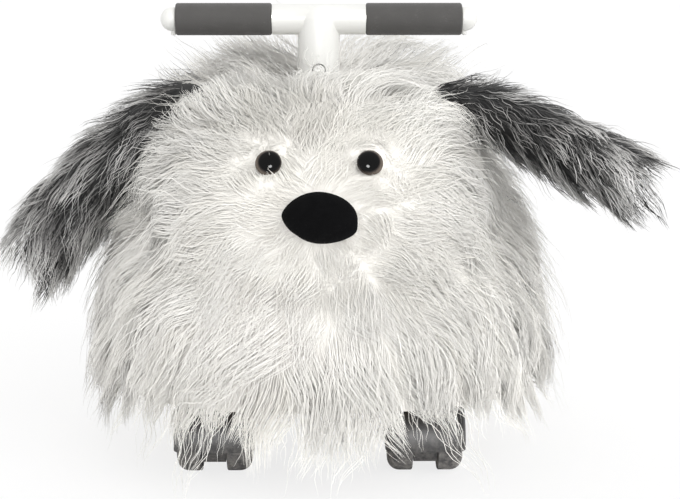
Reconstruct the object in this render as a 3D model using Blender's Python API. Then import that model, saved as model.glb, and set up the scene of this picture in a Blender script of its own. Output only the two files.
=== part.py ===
# Plush dog to sit on and scoot, with a T handle and four twin-wheel swivel casters.
# Metres, +Z up. The dog looks along -Y, its left side is at +X, and the floor is z = 0.
# Soft pieces are the space that their pile fills when it is combed down.

import bpy
import bmesh
from math import cos, pi, radians, sin
from mathutils import Euler, Matrix, Vector
from mathutils.bvhtree import BVHTree

# Shared clearances
seat_gap = 0.0003
cut_overrun = 0.004
weld_distance = 0.000002

# Base board, which everything is screwed to
board_half_width = 0.108
board_half_length = 0.150
board_thickness = 0.012
board_underside = 0.0625
board_edge_round = 0.0015
board_corner_power = 5.0
board_points = 32
cloth_half_width = 0.045
cloth_half_length = 0.140
cloth_thickness = 0.001

# Twin-wheel casters
caster_half_track = 0.078
caster_half_base = 0.098
caster_trail = 0.015
caster_headings = {"front_left": 180.0, "front_right": 180.0, "rear_left": 0.0, "rear_right": 0.0}
wheel_radius = 0.025
wheel_width = 0.0185
wheel_shoulder = 0.009
wheel_inner_chamfer = 0.0008
wheel_end_wall = 0.004
wheel_side_gap = 0.0006
wheel_sides = 24
wheel_shoulder_steps = 2
web_width = 0.0175
web_radius = 0.0225
axle_radius = 0.003
axle_running_gap = 0.00015
axle_end_gap = 0.0004
axle_chamfer = 0.0005
axle_sides = 10
hood_clearance = 0.0015
hood_wall = 0.0018
hood_side_wall = 0.0012
hood_rim_height = 0.021
hood_sides = 20
boss_foot_height = 0.011
boss_foot_round = 0.0015
boss_collar_radius = 0.0108
boss_collar_top = 0.0545
boss_sides = 16
swivel_pin_radius = 0.004
swivel_running_gap = 0.0002
swivel_pin_reach = 0.024
swivel_race_radius = 0.0125
swivel_race_gap = 0.0004
plate_half_size = 0.018
plate_thickness = 0.0022
plate_corner = 0.004

# Handle
post_place = -0.030
post_radius = 0.014
post_wall = 0.002
post_sides = 20
flange_radius = 0.032
flange_thickness = 0.004
flange_socket_wall = 0.003
flange_socket_height = 0.018
stop_collar_radius = 0.016
stop_collar_height = 0.006
stem_radius = 0.016
stem_length = 0.080
stem_sides = 24
stem_hole_gap = 0.0018
stem_roof = 0.0015
stem_dome_heights_share = (0.92, 0.72, 0.36, 0.0)
stem_dome_radii_share = (0.35, 0.66, 0.90, 1.0)
stem_dome_top_share = 0.96
bar_rise = 0.038
bar_core_half_length = 0.0355
bar_core_radius = 0.0117
bar_sides = 24
tee_fillet = 0.006
tee_fillet_half_depth = 0.008
tee_fillet_steps = 4
cross_tube_radius = 0.0095
cross_tube_wall = 0.0015
grip_radius = 0.0122
grip_length = 0.073
grip_edge_round = 0.0012
cap_radius = 0.0090
cap_length = 0.0114
cap_rim = 0.0025
cap_spigot_length = 0.014
cap_steps = 4
cap_sides = 16
cap_tab_width = 0.005
cap_tab_length = 0.0035
cap_tab_drop = 0.0030
button_half_width = 0.00475
button_half_height = 0.0095
button_drop = 0.0425
button_proud = 0.0006
button_lip = 0.0014
button_lip_thickness = 0.0015
button_arc_points = 7
spring_radius = 0.0033
spring_wire = 0.00035
spring_turns = 5
spring_points_per_turn = 9
spring_wire_resolution = 0

# Body: foam core under a fur cover
core_top = 0.240
core_height_shares = (0.0, 0.35, 0.65, 0.85, 0.96)
core_width_shares = (0.98, 0.95, 0.85, 0.66, 0.40)
core_length_shares = (0.985, 0.97, 0.88, 0.72, 0.48)
core_power_shares = (1.0, 0.8, 0.65, 0.55, 0.5)
body_half_width = 0.172
body_front_reach = 0.203
body_rear_reach = 0.216
body_top = 0.292
body_crown_place = 0.035
body_power = 2.7
body_points = 36
body_height_shares = (0.0, 0.16, 0.38, 0.60, 0.78, 0.905, 0.975)
body_width_shares = (0.985, 1.0, 0.950, 0.855, 0.690, 0.500, 0.31)
body_front_shares = (0.95, 1.0, 0.99, 0.76, 0.52, 0.34, 0.18)
body_rear_shares = (0.95, 0.99, 1.0, 0.95, 0.86, 0.72, 0.50)
skirt_drop = 0.012
skirt_flare = 0.002
skirt_inner_half_width = 0.116
skirt_inner_half_length = 0.150
skirt_sweep_clearance = 0.0015
skirt_sweep_sides = 20

# Head
head_front = -0.220
head_rear = -0.040
head_half_width = 0.120
head_half_height = 0.090
head_height = 0.200
head_power = 2.4
head_points = 28
head_along_shares = (0.08, 0.25, 0.48, 0.70, 0.86, 0.96)
head_width_shares = (0.84, 0.97, 1.0, 0.92, 0.74, 0.48)
head_top_shares = (0.90, 1.0, 1.0, 0.82, 0.58, 0.34)
head_bottom_shares = (0.75, 0.95, 1.0, 0.92, 0.74, 0.48)

# Nose and eyes
nose_half_width = 0.0256
nose_half_height = 0.0175
nose_half_depth = 0.013
nose_rise = 0.0097
nose_front = -0.234
nose_sides = 20
nose_rings = 8
eye_spacing = 0.0684
eye_rise = 0.0435
eye_radius = 0.009
eye_flange = 0.0012
eye_dome = 0.0062
eye_dome_steps = 3
eye_sides = 16
eye_up_angle = 32.0
eye_out_angle = 10.0
eye_sink = 0.001
eye_shank_radius = 0.0025
eye_shank_length = 0.015
washer_radius = 0.008
washer_thickness = 0.0015
washer_depth = 0.010

# Ears and tail: tapering tufts that swing on a round bead sewn into a groove
ear_hinge_side = 0.095
ear_hinge_place = -0.075
ear_hinge_height = 0.272
ear_left_length = 0.1985
ear_left_droop = 23.0
ear_left_sweep = 33.0
ear_right_length = 0.2205
ear_right_droop = 47.0
ear_right_sweep = -10.0
ear_half_width = 0.036
ear_over = 0.044
ear_under = 0.018
ear_bead_radius = 0.010
ear_bead_half_length = 0.024
ear_points = 18
tail_length = 0.054
tail_droop = 56.0
tail_half_width = 0.018
tail_over = 0.018
tail_under = 0.008
tail_bead_radius = 0.007
tail_bead_half_length = 0.010
tail_hinge_place = 0.2015
tail_hinge_height = 0.217
tail_points = 14
bead_sides = 16
tuft_along_shares = (0.02, 0.12, 0.30, 0.52, 0.74, 0.90)
tuft_width_shares = (0.62, 0.76, 0.94, 1.0, 0.86, 0.54)
tuft_over_shares = (0.42, 0.64, 0.88, 1.0, 0.86, 0.52)
tuft_under_shares = (0.18, 0.18, 0.28, 0.76, 1.0, 0.72)

# Places that follow from the sizes above
board_top = board_underside + board_thickness
plate_top = board_underside - seat_gap
plate_bottom = plate_top - plate_thickness
flange_bottom = board_top + seat_gap
flange_top = flange_bottom + flange_thickness
post_bottom = flange_top + seat_gap
bar_height = body_top + bar_rise
button_height = bar_height - button_drop
stem_bottom = bar_height - stem_length
stop_collar_top = stem_bottom - seat_gap
stem_bore_radius = post_radius + seat_gap
cross_bore_radius = cross_tube_radius + seat_gap
stem_bore_top = bar_height - cross_bore_radius - stem_roof
post_top = stem_bore_top - seat_gap
post_bore_radius = post_radius - post_wall
hood_radius = wheel_radius + hood_clearance + hood_wall
wheel_inner_face = web_width / 2 + wheel_side_gap
wheel_outer_face = wheel_inner_face + wheel_width
hood_half_width = wheel_outer_face + wheel_side_gap + hood_side_wall
skirt_bottom = board_underside - skirt_drop
nose_height = head_height + nose_rise
eye_height = head_height + eye_rise


def clear_scene():
    for thing in list(bpy.data.objects):
        bpy.data.objects.remove(thing, do_unlink=True)


def make_material(name, colour, roughness, metallic=0.0):
    finish = bpy.data.materials.new(name)
    finish.use_nodes = True
    shader = finish.node_tree.nodes["Principled BSDF"]
    shader.inputs["Base Color"].default_value = (*colour, 1.0)
    shader.inputs["Roughness"].default_value = roughness
    shader.inputs["Metallic"].default_value = metallic
    finish.diffuse_color = (*colour, 1.0)
    return finish


def round_out(radius, sides):
    """Corner radius of a polygon whose flats lie at the given radius."""
    return radius / cos(pi / sides)


def mesh_from(form, name):
    bmesh.ops.recalc_face_normals(form, faces=form.faces[:])
    mesh = bpy.data.meshes.new(name)
    form.to_mesh(mesh)
    form.free()
    return mesh


def place(name, mesh, finish=None, origin=(0, 0, 0), turn=(0, 0, 0), parent=None):
    piece = bpy.data.objects.new(name, mesh)
    piece.location = origin
    piece.rotation_euler = turn
    piece.parent = parent
    bpy.context.scene.collection.objects.link(piece)
    if finish:
        mesh.materials.clear()
        mesh.materials.append(finish)
    return piece


def finish_edges(mesh, angle=40.0):
    mesh.shade_smooth()
    mesh.set_sharp_from_angle(angle=radians(angle))
    return mesh


def loft(rings, closed=False):
    """Skin a row of rings; a ring of one point is a pole, and other ends are capped."""
    form = bmesh.new()
    rows = [[form.verts.new(point) for point in ring] for ring in rings]
    pairs = list(zip(rows, rows[1:]))
    if closed:
        pairs.append((rows[-1], rows[0]))
    for low, high in pairs:
        count = max(len(low), len(high))
        for i in range(count):
            j = (i + 1) % count
            if len(low) == 1:
                form.faces.new((low[0], high[i], high[j]))
            elif len(high) == 1:
                form.faces.new((low[i], low[j], high[0]))
            else:
                form.faces.new((low[i], low[j], high[j], high[i]))
    if not closed:
        for end in (rows[0], rows[-1]):
            if len(end) > 1:
                form.faces.new(end)
    return form


def turned_rings(profile, sides, axis="Z"):
    """Rings of a turned shape from (radius, place along the axis) pairs."""
    rings = []
    for radius, along in profile:
        if radius == 0:
            ring = [(0, 0, along)]
        else:
            angles = [2 * pi * (i + 0.5) / sides for i in range(sides)]
            ring = [(radius * cos(a), radius * sin(a), along) for a in angles]
        if axis == "X":
            ring = [(z, x, y) for x, y, z in ring]
        elif axis == "Y":
            ring = [(y, z, x) for x, y, z in ring]
        rings.append(ring)
    return rings


def turned(profile, sides, axis="Z", tube=False):
    return loft(turned_rings(profile, sides, axis), closed=tube)


def rod(radius, low, high, sides, axis="Z"):
    return turned([(0, low), (radius, low), (radius, high), (0, high)], sides, axis)


def block(low, high):
    form = bmesh.new()
    size = Vector(high) - Vector(low)
    middle = (Vector(high) + Vector(low)) / 2
    bmesh.ops.create_cube(form, size=1.0, matrix=Matrix.Translation(middle) @ Matrix.Diagonal((*size, 1.0)))
    return form


def oval(half_x, front, rear, height, power, points):
    """A level superellipse; front and rear are its reaches along Y."""
    middle, half_y = (rear + front) / 2, (rear - front) / 2
    ring = []
    for i in range(points):
        a = 2 * pi * (i + 0.5) / points
        c, s = cos(a), sin(a)
        x = half_x * (1 if c > 0 else -1) * abs(c) ** (2 / power)
        y = half_y * (1 if s > 0 else -1) * abs(s) ** (2 / power)
        ring.append((x, middle + y, height))
    return ring


def weld(mesh):
    form = bmesh.new()
    form.from_mesh(mesh)
    bmesh.ops.remove_doubles(form, verts=form.verts, dist=weld_distance)
    form.to_mesh(mesh)
    form.free()


def combine(piece, form, operation="DIFFERENCE", matrix=None):
    """Cut the form out of the piece, or join it on, and keep the result as its mesh."""
    if matrix is not None:
        bmesh.ops.transform(form, matrix=matrix, verts=form.verts)
    tool = place(piece.name + "_tool", mesh_from(form, "tool"))
    tool.hide_render = True
    tool.display_type = "WIRE"
    bpy.context.view_layer.update()
    tool.matrix_world = piece.matrix_world.copy()
    change = piece.modifiers.new("shape", "BOOLEAN")
    change.object = tool
    change.operation = operation
    change.solver = "EXACT"
    shaped = bpy.data.meshes.new_from_object(piece.evaluated_get(bpy.context.evaluated_depsgraph_get()))
    weld(shaped)
    piece.modifiers.clear()
    old = piece.data
    piece.data = shaped
    bpy.data.meshes.remove(old)
    bpy.data.objects.remove(tool, do_unlink=True)
    return piece


def finish_piece(piece, finish, angle=40.0):
    piece.data.materials.clear()
    piece.data.materials.append(finish)
    finish_edges(piece.data, angle)
    return piece


def moved(x=0.0, y=0.0, z=0.0):
    return Matrix.Translation((x, y, z))


# Base board

def board_rings(extra, low, high):
    half_x, half_y = board_half_width + extra, board_half_length + extra
    return [oval(half_x, -half_y, half_y, z, board_corner_power, board_points) for z in (low, high)]


def make_board(finish):
    inset = -board_edge_round
    lower = board_rings(inset, 0, board_edge_round)
    upper = board_rings(inset, board_thickness - board_edge_round, board_thickness)
    wide = board_rings(0, board_edge_round, board_thickness - board_edge_round)
    form = loft([lower[0], wide[0], wide[1], upper[1]])
    board = place("base_board", mesh_from(form, "base_board"), finish, (0, 0, board_underside))
    finish_edges(board.data)


def make_bottom_cloth(finish):
    """Dust cloth stapled under the board, between the left and right casters."""
    rings = []
    for z in (-cloth_thickness, 0):
        rings.append(oval(cloth_half_width, -cloth_half_length, cloth_half_length, z,
                          board_corner_power, board_points))
    cloth = mesh_from(loft(rings), "bottom_cloth")
    place("bottom_cloth", finish_edges(cloth), finish, (0, 0, board_underside - seat_gap))


# Casters

def shouldered(inner, outer, radius, drop):
    """Half of a drum: flat inner face, then a rounded shoulder down to the outer face."""
    profile = [(0, inner), (radius, inner), (radius, outer - wheel_shoulder)]
    for step in range(1, wheel_shoulder_steps + 1):
        a = pi / 2 * step / wheel_shoulder_steps
        profile.append((radius - drop + drop * cos(a), outer - wheel_shoulder + wheel_shoulder * sin(a)))
    return profile + [(0, outer)]


def make_wheel_mesh(finish):
    """Wheel on the X axis, bored from its inner face and closed on its outer face."""
    bore = round_out(axle_radius + axle_running_gap, axle_sides)
    tread = round_out(wheel_radius, wheel_sides)
    outer = shouldered(0, wheel_width, tread, wheel_shoulder)
    rim = [(tread - wheel_inner_chamfer, 0), (tread, wheel_inner_chamfer)]
    wheel = place("wheel", mesh_from(turned([(0, 0)] + rim + outer[2:], wheel_sides, "X"), "wheel"))
    hole = rod(bore, -cut_overrun, wheel_width - wheel_end_wall, axle_sides, "X")
    combine(wheel, hole)
    finish_piece(wheel, finish, 50.0)
    mesh = wheel.data
    bpy.data.objects.remove(wheel, do_unlink=True)
    return mesh


def make_hood_mesh(finish):
    """Hood over both wheels with the web, the swivel boss and its collar, on the swivel axis."""
    right = shouldered(0, hood_half_width, hood_radius, wheel_shoulder)[2:]
    left = [(radius, -along) for radius, along in reversed(right)]
    hood = place("hood", mesh_from(turned(left + right, hood_sides, "X"), "hood"))
    hood.data.transform(moved(y=caster_trail))
    rim = hood_rim_height - wheel_radius
    big = 2 * hood_radius + hood_half_width
    combine(hood, block((-big, -big, -big), (big, big, rim)))
    foot = boss_foot_height - wheel_radius
    web = rod(web_radius, -web_width / 2, web_width / 2, hood_sides, "X")
    web_cut = place("web", mesh_from(web, "web"))
    web_cut.data.transform(moved(y=caster_trail))
    combine(web_cut, block((-big, -big, -big), (big, big, foot)))
    join = bmesh.new()
    join.from_mesh(web_cut.data)
    bpy.data.objects.remove(web_cut, do_unlink=True)
    for side in (-1, 1):
        inner, outer = web_width / 2, wheel_outer_face + wheel_side_gap
        profile = shouldered(inner, outer, wheel_radius + hood_clearance, wheel_shoulder)
        profile = [(radius, side * along) for radius, along in profile]
        combine(hood, turned(profile, hood_sides, "X"), matrix=moved(y=caster_trail))
    combine(hood, join, "UNION")
    collar_top = boss_collar_top - wheel_radius
    boss_radius = web_width / 2
    collar_low = hood_radius - hood_wall
    boss = [(0, foot), (boss_radius - boss_foot_round, foot), (boss_radius, foot + boss_foot_round),
            (boss_radius, collar_low), (boss_collar_radius, collar_low),
            (boss_collar_radius, collar_top), (0, collar_top)]
    combine(hood, turned(boss, boss_sides), "UNION")
    axle_bore = round_out(axle_radius + axle_running_gap, axle_sides)
    combine(hood, rod(axle_bore, -web_width, web_width, axle_sides, "X"), matrix=moved(y=caster_trail))
    pin_bore = round_out(swivel_pin_radius + swivel_running_gap, boss_sides)
    pin_floor = plate_bottom - swivel_pin_reach - wheel_radius - seat_gap
    combine(hood, rod(pin_bore, pin_floor, collar_top + cut_overrun, boss_sides))
    finish_piece(hood, finish, 45.0)
    mesh = hood.data
    bpy.data.objects.remove(hood, do_unlink=True)
    return mesh


def make_plate_mesh(finish):
    """Square plate with the ball race and the swivel pin below it, on the swivel axis."""
    race_bottom = boss_collar_top + swivel_race_gap
    plate = block((-plate_half_size, -plate_half_size, plate_bottom),
                  (plate_half_size, plate_half_size, plate_top))
    upright = [edge for edge in plate.edges if abs(edge.verts[0].co.z - edge.verts[1].co.z) > seat_gap]
    bmesh.ops.bevel(plate, geom=upright, offset=plate_corner, segments=3, affect="EDGES", profile=0.5)
    thing = place("plate", mesh_from(plate, "plate"))
    pin_end = plate_bottom - swivel_pin_reach
    middle = (plate_bottom + plate_top) / 2
    profile = [(0, pin_end), (swivel_pin_radius - axle_chamfer, pin_end),
               (swivel_pin_radius, pin_end + axle_chamfer), (swivel_pin_radius, race_bottom),
               (swivel_race_radius, race_bottom), (swivel_race_radius, middle), (0, middle)]
    combine(thing, turned(profile, boss_sides), "UNION")
    finish_piece(thing, finish)
    mesh = thing.data
    bpy.data.objects.remove(thing, do_unlink=True)
    return mesh


def make_axle_mesh(finish):
    half = wheel_outer_face - wheel_end_wall - axle_end_gap
    small = axle_radius - axle_chamfer
    profile = [(0, -half), (small, -half), (axle_radius, axle_chamfer - half),
               (axle_radius, half - axle_chamfer), (small, half), (0, half)]
    mesh = mesh_from(turned(profile, axle_sides, "X"), "axle")
    mesh.materials.append(finish)
    return finish_edges(mesh)


def make_casters(plastic, wheel_plastic, steel):
    wheel_mesh = make_wheel_mesh(wheel_plastic)
    hood_mesh = make_hood_mesh(plastic)
    plate_mesh = make_plate_mesh(steel)
    axle_mesh = make_axle_mesh(steel)
    for corner, heading in caster_headings.items():
        x = caster_half_track * (1 if corner.endswith("left") else -1)
        y = caster_half_base * (-1 if corner.startswith("front") else 1)
        place("caster_plate_" + corner, plate_mesh.copy(), None, (x, y, 0))
        swivel = bpy.data.objects.new("swivel_" + corner, None)
        swivel.location = (x, y, wheel_radius)
        swivel.rotation_euler = (0, 0, radians(heading))
        bpy.context.scene.collection.objects.link(swivel)
        place("caster_hood_" + corner, hood_mesh.copy(), None, parent=swivel)
        place("caster_axle_" + corner, axle_mesh.copy(), None, (0, caster_trail, 0), parent=swivel)
        outboard = 1 if x * cos(radians(heading)) > 0 else -1
        for name, side in (("outboard", outboard), ("inboard", -outboard)):
            turn = (0, 0, 0 if side > 0 else pi)
            spot = (side * wheel_inner_face, caster_trail, 0)
            place("wheel_" + corner + "_" + name, wheel_mesh.copy(), None, spot, turn, swivel)


# Handle

def make_post(steel, plastic):
    socket = post_radius + seat_gap + flange_socket_wall
    bore = round_out(post_radius + seat_gap, post_sides)
    rim = flange_thickness + flange_socket_height
    profile = [(0, 0), (flange_radius, 0), (flange_radius, flange_thickness), (socket, flange_thickness),
               (socket, rim), (bore, rim), (bore, flange_thickness), (0, flange_thickness)]
    flange = mesh_from(turned(profile, post_sides), "post_flange")
    place("post_flange", finish_edges(flange), plastic, (0, post_place, flange_bottom))
    height = post_top - post_bottom
    collar_top = stop_collar_top - post_bottom
    collar_low = collar_top - stop_collar_height
    profile = [(post_bore_radius, 0), (post_radius, 0), (post_radius, collar_low),
               (stop_collar_radius, collar_low), (stop_collar_radius, collar_top), (post_radius, collar_top),
               (post_radius, height), (post_bore_radius, height)]
    form = turned(profile, post_sides, tube=True)
    post = place("handle_post", mesh_from(form, "handle_post"), None, (0, post_place, post_bottom))
    window = button_form(seat_gap, post_radius + cut_overrun, 0)
    combine(post, window, matrix=moved(z=button_height - post_bottom))
    finish_piece(post, steel)


def fillet_form(side):
    """Concave corner between the stem and the underside of the bar, on one side."""
    corner_x = stem_radius + tee_fillet
    corner_z = -bar_core_radius - tee_fillet
    outline = [(0, 0), (corner_x, 0), (corner_x, -bar_core_radius)]
    for step in range(1, tee_fillet_steps):
        a = pi / 2 * step / tee_fillet_steps
        outline.append((corner_x - tee_fillet * sin(a), corner_z + tee_fillet * cos(a)))
    outline += [(stem_radius, corner_z), (0, corner_z)]
    rings = []
    for y in (-tee_fillet_half_depth, tee_fillet_half_depth):
        rings.append([(side * x, y, z) for x, z in outline])
    return loft(rings)


def make_tee(plastic):
    """Moulded T piece: the stem slides over the post, and the cross bore takes the tube."""
    low = stem_bottom - bar_height
    dome = [(0, bar_core_radius * stem_dome_top_share)]
    for height, radius in zip(stem_dome_heights_share, stem_dome_radii_share):
        dome.append((stem_radius * radius, bar_core_radius * height))
    profile = [(0, low), (stem_radius, low)] + list(reversed(dome))
    stem = mesh_from(turned(profile, stem_sides), "handle_tee")
    tee = place("handle_tee", stem, None, (0, post_place, bar_height))
    combine(tee, rod(bar_core_radius, -bar_core_half_length, bar_core_half_length, bar_sides, "X"), "UNION")
    for side in (-1, 1):
        combine(tee, fillet_form(side), "UNION")
    bore = round_out(stem_bore_radius, post_sides)
    combine(tee, rod(bore, low - cut_overrun, stem_bore_top - bar_height, post_sides))
    reach = bar_core_half_length + cut_overrun
    combine(tee, rod(round_out(cross_bore_radius, bar_sides), -reach, reach, bar_sides, "X"))
    window = button_form(seat_gap, stem_radius + cut_overrun, 0)
    combine(tee, window, matrix=moved(z=button_height - bar_height))
    finish_piece(tee, plastic, 35.0)


def button_outline(extra):
    """Upright stadium seen from the front, as (x, z) pairs."""
    half_x = button_half_width + extra
    straight = button_half_height - button_half_width
    outline = []
    for end in (1, -1):
        for step in range(button_arc_points):
            a = pi * step / (button_arc_points - 1)
            outline.append((end * half_x * cos(a), end * (straight + half_x * sin(a))))
    return outline


def button_form(extra, front, back):
    """The button's outline run from front to back, both counted forward of the post's axis."""
    outline = button_outline(extra)
    return loft([[(x, -front, z) for x, z in outline], [(x, -back, z) for x, z in outline]])


def make_button(plastic, steel):
    """Lock button that pokes through the post and the stem, with a lip inside the post."""
    lip_half_width = button_half_width + button_lip
    lip_front = (post_bore_radius ** 2 - lip_half_width ** 2) ** 0.5 * cos(pi / post_sides) - seat_gap
    lip_back = lip_front - button_lip_thickness
    origin = (0, post_place, button_height)
    plunger = mesh_from(button_form(0, stem_radius + button_proud, lip_back), "button")
    button = place("lock_button", plunger, None, origin)
    combine(button, button_form(button_lip, lip_front, lip_back), "UNION")
    finish_piece(button, plastic)
    wire = bpy.data.curves.new("button_spring", "CURVE")
    wire.dimensions = "3D"
    wire.bevel_depth = spring_wire
    wire.bevel_resolution = spring_wire_resolution
    wire.use_fill_caps = True
    back_wall = (post_bore_radius ** 2 - spring_radius ** 2) ** 0.5 * cos(pi / post_sides)
    start = -lip_back + seat_gap + spring_wire
    end = back_wall - seat_gap - spring_wire
    count = spring_turns * spring_points_per_turn
    coil = wire.splines.new("POLY")
    coil.points.add(count)
    for i in range(count + 1):
        a = 2 * pi * i / spring_points_per_turn
        y = start + (end - start) * i / count
        coil.points[i].co = (spring_radius * cos(a), y, spring_radius * sin(a), 1.0)
    wire.materials.append(steel)
    spring = bpy.data.objects.new("button_spring", wire)
    spring.location = origin
    bpy.context.scene.collection.objects.link(spring)
    pitch = (end - start) / spring_turns
    print("button spring, least gap between turns in metres:", round(pitch - 2 * spring_wire, 5))


def make_bar(plastic, grip_foam, steel):
    """Cross tube, two grips and two end caps, all on the bar's axis."""
    grip_start = bar_core_half_length + seat_gap
    grip_end = grip_start + grip_length
    axis = (0, post_place, bar_height)
    inner = cross_tube_radius - cross_tube_wall
    profile = [(inner, -grip_end), (cross_tube_radius, -grip_end),
               (cross_tube_radius, grip_end), (inner, grip_end)]
    tube = mesh_from(turned(profile, bar_sides, "X", tube=True), "cross_tube")
    place("cross_tube", finish_edges(tube), steel, axis)
    for name, side in (("left", 1), ("right", -1)):
        bore = round_out(cross_tube_radius + seat_gap, bar_sides)
        edge = grip_radius - grip_edge_round
        profile = [(bore, 0), (edge, 0), (grip_radius, grip_edge_round),
                   (grip_radius, grip_length - grip_edge_round), (edge, grip_length), (bore, grip_length)]
        form = turned([(radius, side * along) for radius, along in profile], bar_sides, "X", tube=True)
        spot = (side * grip_start, post_place, bar_height)
        place("grip_" + name, finish_edges(mesh_from(form, "grip")), grip_foam, spot)
        make_end_cap(name, side, grip_end + seat_gap, inner - seat_gap, plastic)


def make_end_cap(name, side, start, spigot_radius, plastic):
    """Domed plug with a spigot in the tube's end and a small tab below its rim."""
    dome = [(cap_radius, 0), (cap_radius, cap_rim)]
    for step in range(1, cap_steps):
        a = pi / 2 * step / cap_steps
        dome.append((cap_radius * cos(a), cap_rim + (cap_length - cap_rim) * sin(a)))
    dome.append((0, cap_length))
    profile = [(0, -cap_spigot_length), (spigot_radius, -cap_spigot_length), (spigot_radius, 0)] + dome
    form = turned([(radius, side * along) for radius, along in profile], cap_sides, "X")
    cap = place("end_cap_" + name, mesh_from(form, "end_cap"), None, (side * start, post_place, bar_height))
    ends = sorted((0, side * cap_tab_length))
    low = (ends[0], -cap_tab_width / 2, -cap_radius - cap_tab_drop)
    high = (ends[1], cap_tab_width / 2, -cap_radius / 2)
    combine(cap, block(low, high), "UNION")
    finish_piece(cap, plastic)


# Body

def core_rings(extra, floor):
    """Rings of the foam core, grown by extra, above a straight wall from the floor."""
    base = board_top + seat_gap
    rings = board_rings(extra, floor, base) if floor is not None else []
    shares = zip(core_height_shares, core_width_shares, core_length_shares, core_power_shares)
    for height, width, length, power in shares:
        half_y = board_half_length * length + extra
        z = base + (core_top - base) * height + (extra if height else 0)
        rings.append(oval(board_half_width * width + extra, -half_y, half_y, z,
                          board_corner_power * power, board_points))
    return rings + [[(0, 0, core_top + extra)]]


def make_core(foam):
    core = place("foam_core", mesh_from(loft(core_rings(0, None)), "foam_core"), None)
    core.data.transform(moved(z=-board_top))
    core.location = (0, 0, board_top)
    to_core = moved(z=-board_top, y=post_place)
    hole = round_out(post_radius + seat_gap, post_sides)
    socket = round_out(post_radius + 2 * seat_gap + flange_socket_wall, post_sides)
    disc = round_out(flange_radius + seat_gap, post_sides)
    disc_top = flange_top + seat_gap
    socket_top = disc_top + flange_socket_height
    low = board_top - cut_overrun
    profile = [(0, low), (disc, low), (disc, disc_top), (socket, disc_top), (socket, socket_top),
               (hole, socket_top), (hole, core_top + cut_overrun), (0, core_top + cut_overrun)]
    combine(core, turned(profile, post_sides), matrix=to_core)
    finish_piece(core, foam)


def body_rings(extra):
    """Rings of the fur body, grown by extra."""
    rings = []
    shares = zip(body_height_shares, body_width_shares, body_front_shares, body_rear_shares)
    for height, width, front, rear in shares:
        z = board_underside + (body_top - board_underside) * height + (extra if height else -extra)
        rings.append(oval(body_half_width * width + extra, -body_front_reach * front - extra,
                          body_rear_reach * rear + extra, z, body_power, body_points))
    return rings + [[(0, body_crown_place, body_top + extra)]]


def make_cover(fur):
    """Fur cover: open underneath for the board, with a hole for the stem and a tail groove."""
    cover = place("body_cover", mesh_from(loft(body_rings(0)), "body_cover"), None)
    cavity = core_rings(seat_gap, board_underside - cut_overrun)
    combine(cover, loft(cavity))
    hole = round_out(stem_radius + stem_hole_gap, stem_sides)
    bottom = core_top - cut_overrun
    combine(cover, rod(hole, bottom, body_top + cut_overrun, stem_sides), matrix=moved(y=post_place))
    half = tail_bead_half_length + seat_gap
    groove = rod(round_out(tail_bead_radius + seat_gap, bead_sides), -half, half, bead_sides, "X")
    combine(cover, groove, matrix=moved(y=tail_hinge_place, z=tail_hinge_height))
    finish_piece(cover, fur, 60.0)


def caster_sweep():
    """Radius that a caster clears when it swivels right round."""
    reach = caster_trail + hood_radius
    return (reach ** 2 + hood_half_width ** 2) ** 0.5


def make_skirt(fur):
    """Pile that hangs below the board as a ring, parted where the casters swivel."""
    top = board_underside - seat_gap
    rings = []
    for z, flare in ((top, 0), (skirt_bottom, skirt_flare)):
        rings.append(oval(body_half_width + flare, -body_front_reach * body_front_shares[0] - flare,
                          body_rear_reach * body_rear_shares[0] + flare, z, body_power, body_points))
    skirt = place("skirt_band", mesh_from(loft(rings), "skirt_band"), None)
    low, high = skirt_bottom - cut_overrun, top + cut_overrun
    inside = [oval(skirt_inner_half_width, -skirt_inner_half_length, skirt_inner_half_length, z,
                   body_power, body_points) for z in (low, high)]
    combine(skirt, loft(inside))
    radius = round_out(caster_sweep() + skirt_sweep_clearance, skirt_sweep_sides)
    for x in (-caster_half_track, caster_half_track):
        for y in (-caster_half_base, caster_half_base):
            combine(skirt, rod(radius, low, high, skirt_sweep_sides), matrix=moved(x, y))
    finish_piece(skirt, fur, 60.0)


# Head

def head_rings():
    length = head_rear - head_front
    rings = [[(0, head_rear, head_height)]]
    shares = zip(head_along_shares, head_width_shares, head_top_shares, head_bottom_shares)
    for along, width, top, bottom in shares:
        y = head_rear - length * along
        ring = []
        for x, _, z in oval_upright(head_half_width * width, head_half_height):
            share = top if z > 0 else bottom
            ring.append((x, y, head_height + z * share))
        rings.append(ring)
    return rings + [[(0, head_front, head_height)]]


def oval_upright(half_x, half_z):
    ring = oval(half_x, -half_z, half_z, 0, head_power, head_points)
    return [(x, 0, z) for x, z, _ in ring]


def surface_place(piece, x, z):
    """Where a line from the front, at x and z, first meets the piece."""
    form = bmesh.new()
    form.from_mesh(piece.data)
    tree = BVHTree.FromBMesh(form)
    form.free()
    hit = tree.ray_cast(Vector((x, 2 * head_front, z)), Vector((0, 1, 0)))
    return hit[0]


def make_head(fur):
    head = place("head", mesh_from(loft(head_rings()), "head"), None)
    combine(head, loft(body_rings(seat_gap)))
    for side in (-1, 1):
        half = ear_bead_half_length + seat_gap
        groove = rod(round_out(ear_bead_radius + seat_gap, bead_sides), -half, half, bead_sides, "Y")
        combine(head, groove, matrix=moved(side * ear_hinge_side, ear_hinge_place, ear_hinge_height))
    return head


def nose_form(extra):
    form = bmesh.new()
    bmesh.ops.create_uvsphere(form, u_segments=nose_sides, v_segments=nose_rings, radius=1.0)
    half = (nose_half_width + extra, nose_half_depth + extra, nose_half_height + extra)
    bmesh.ops.transform(form, matrix=Matrix.Diagonal((*half, 1.0)), verts=form.verts)
    return form


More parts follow.
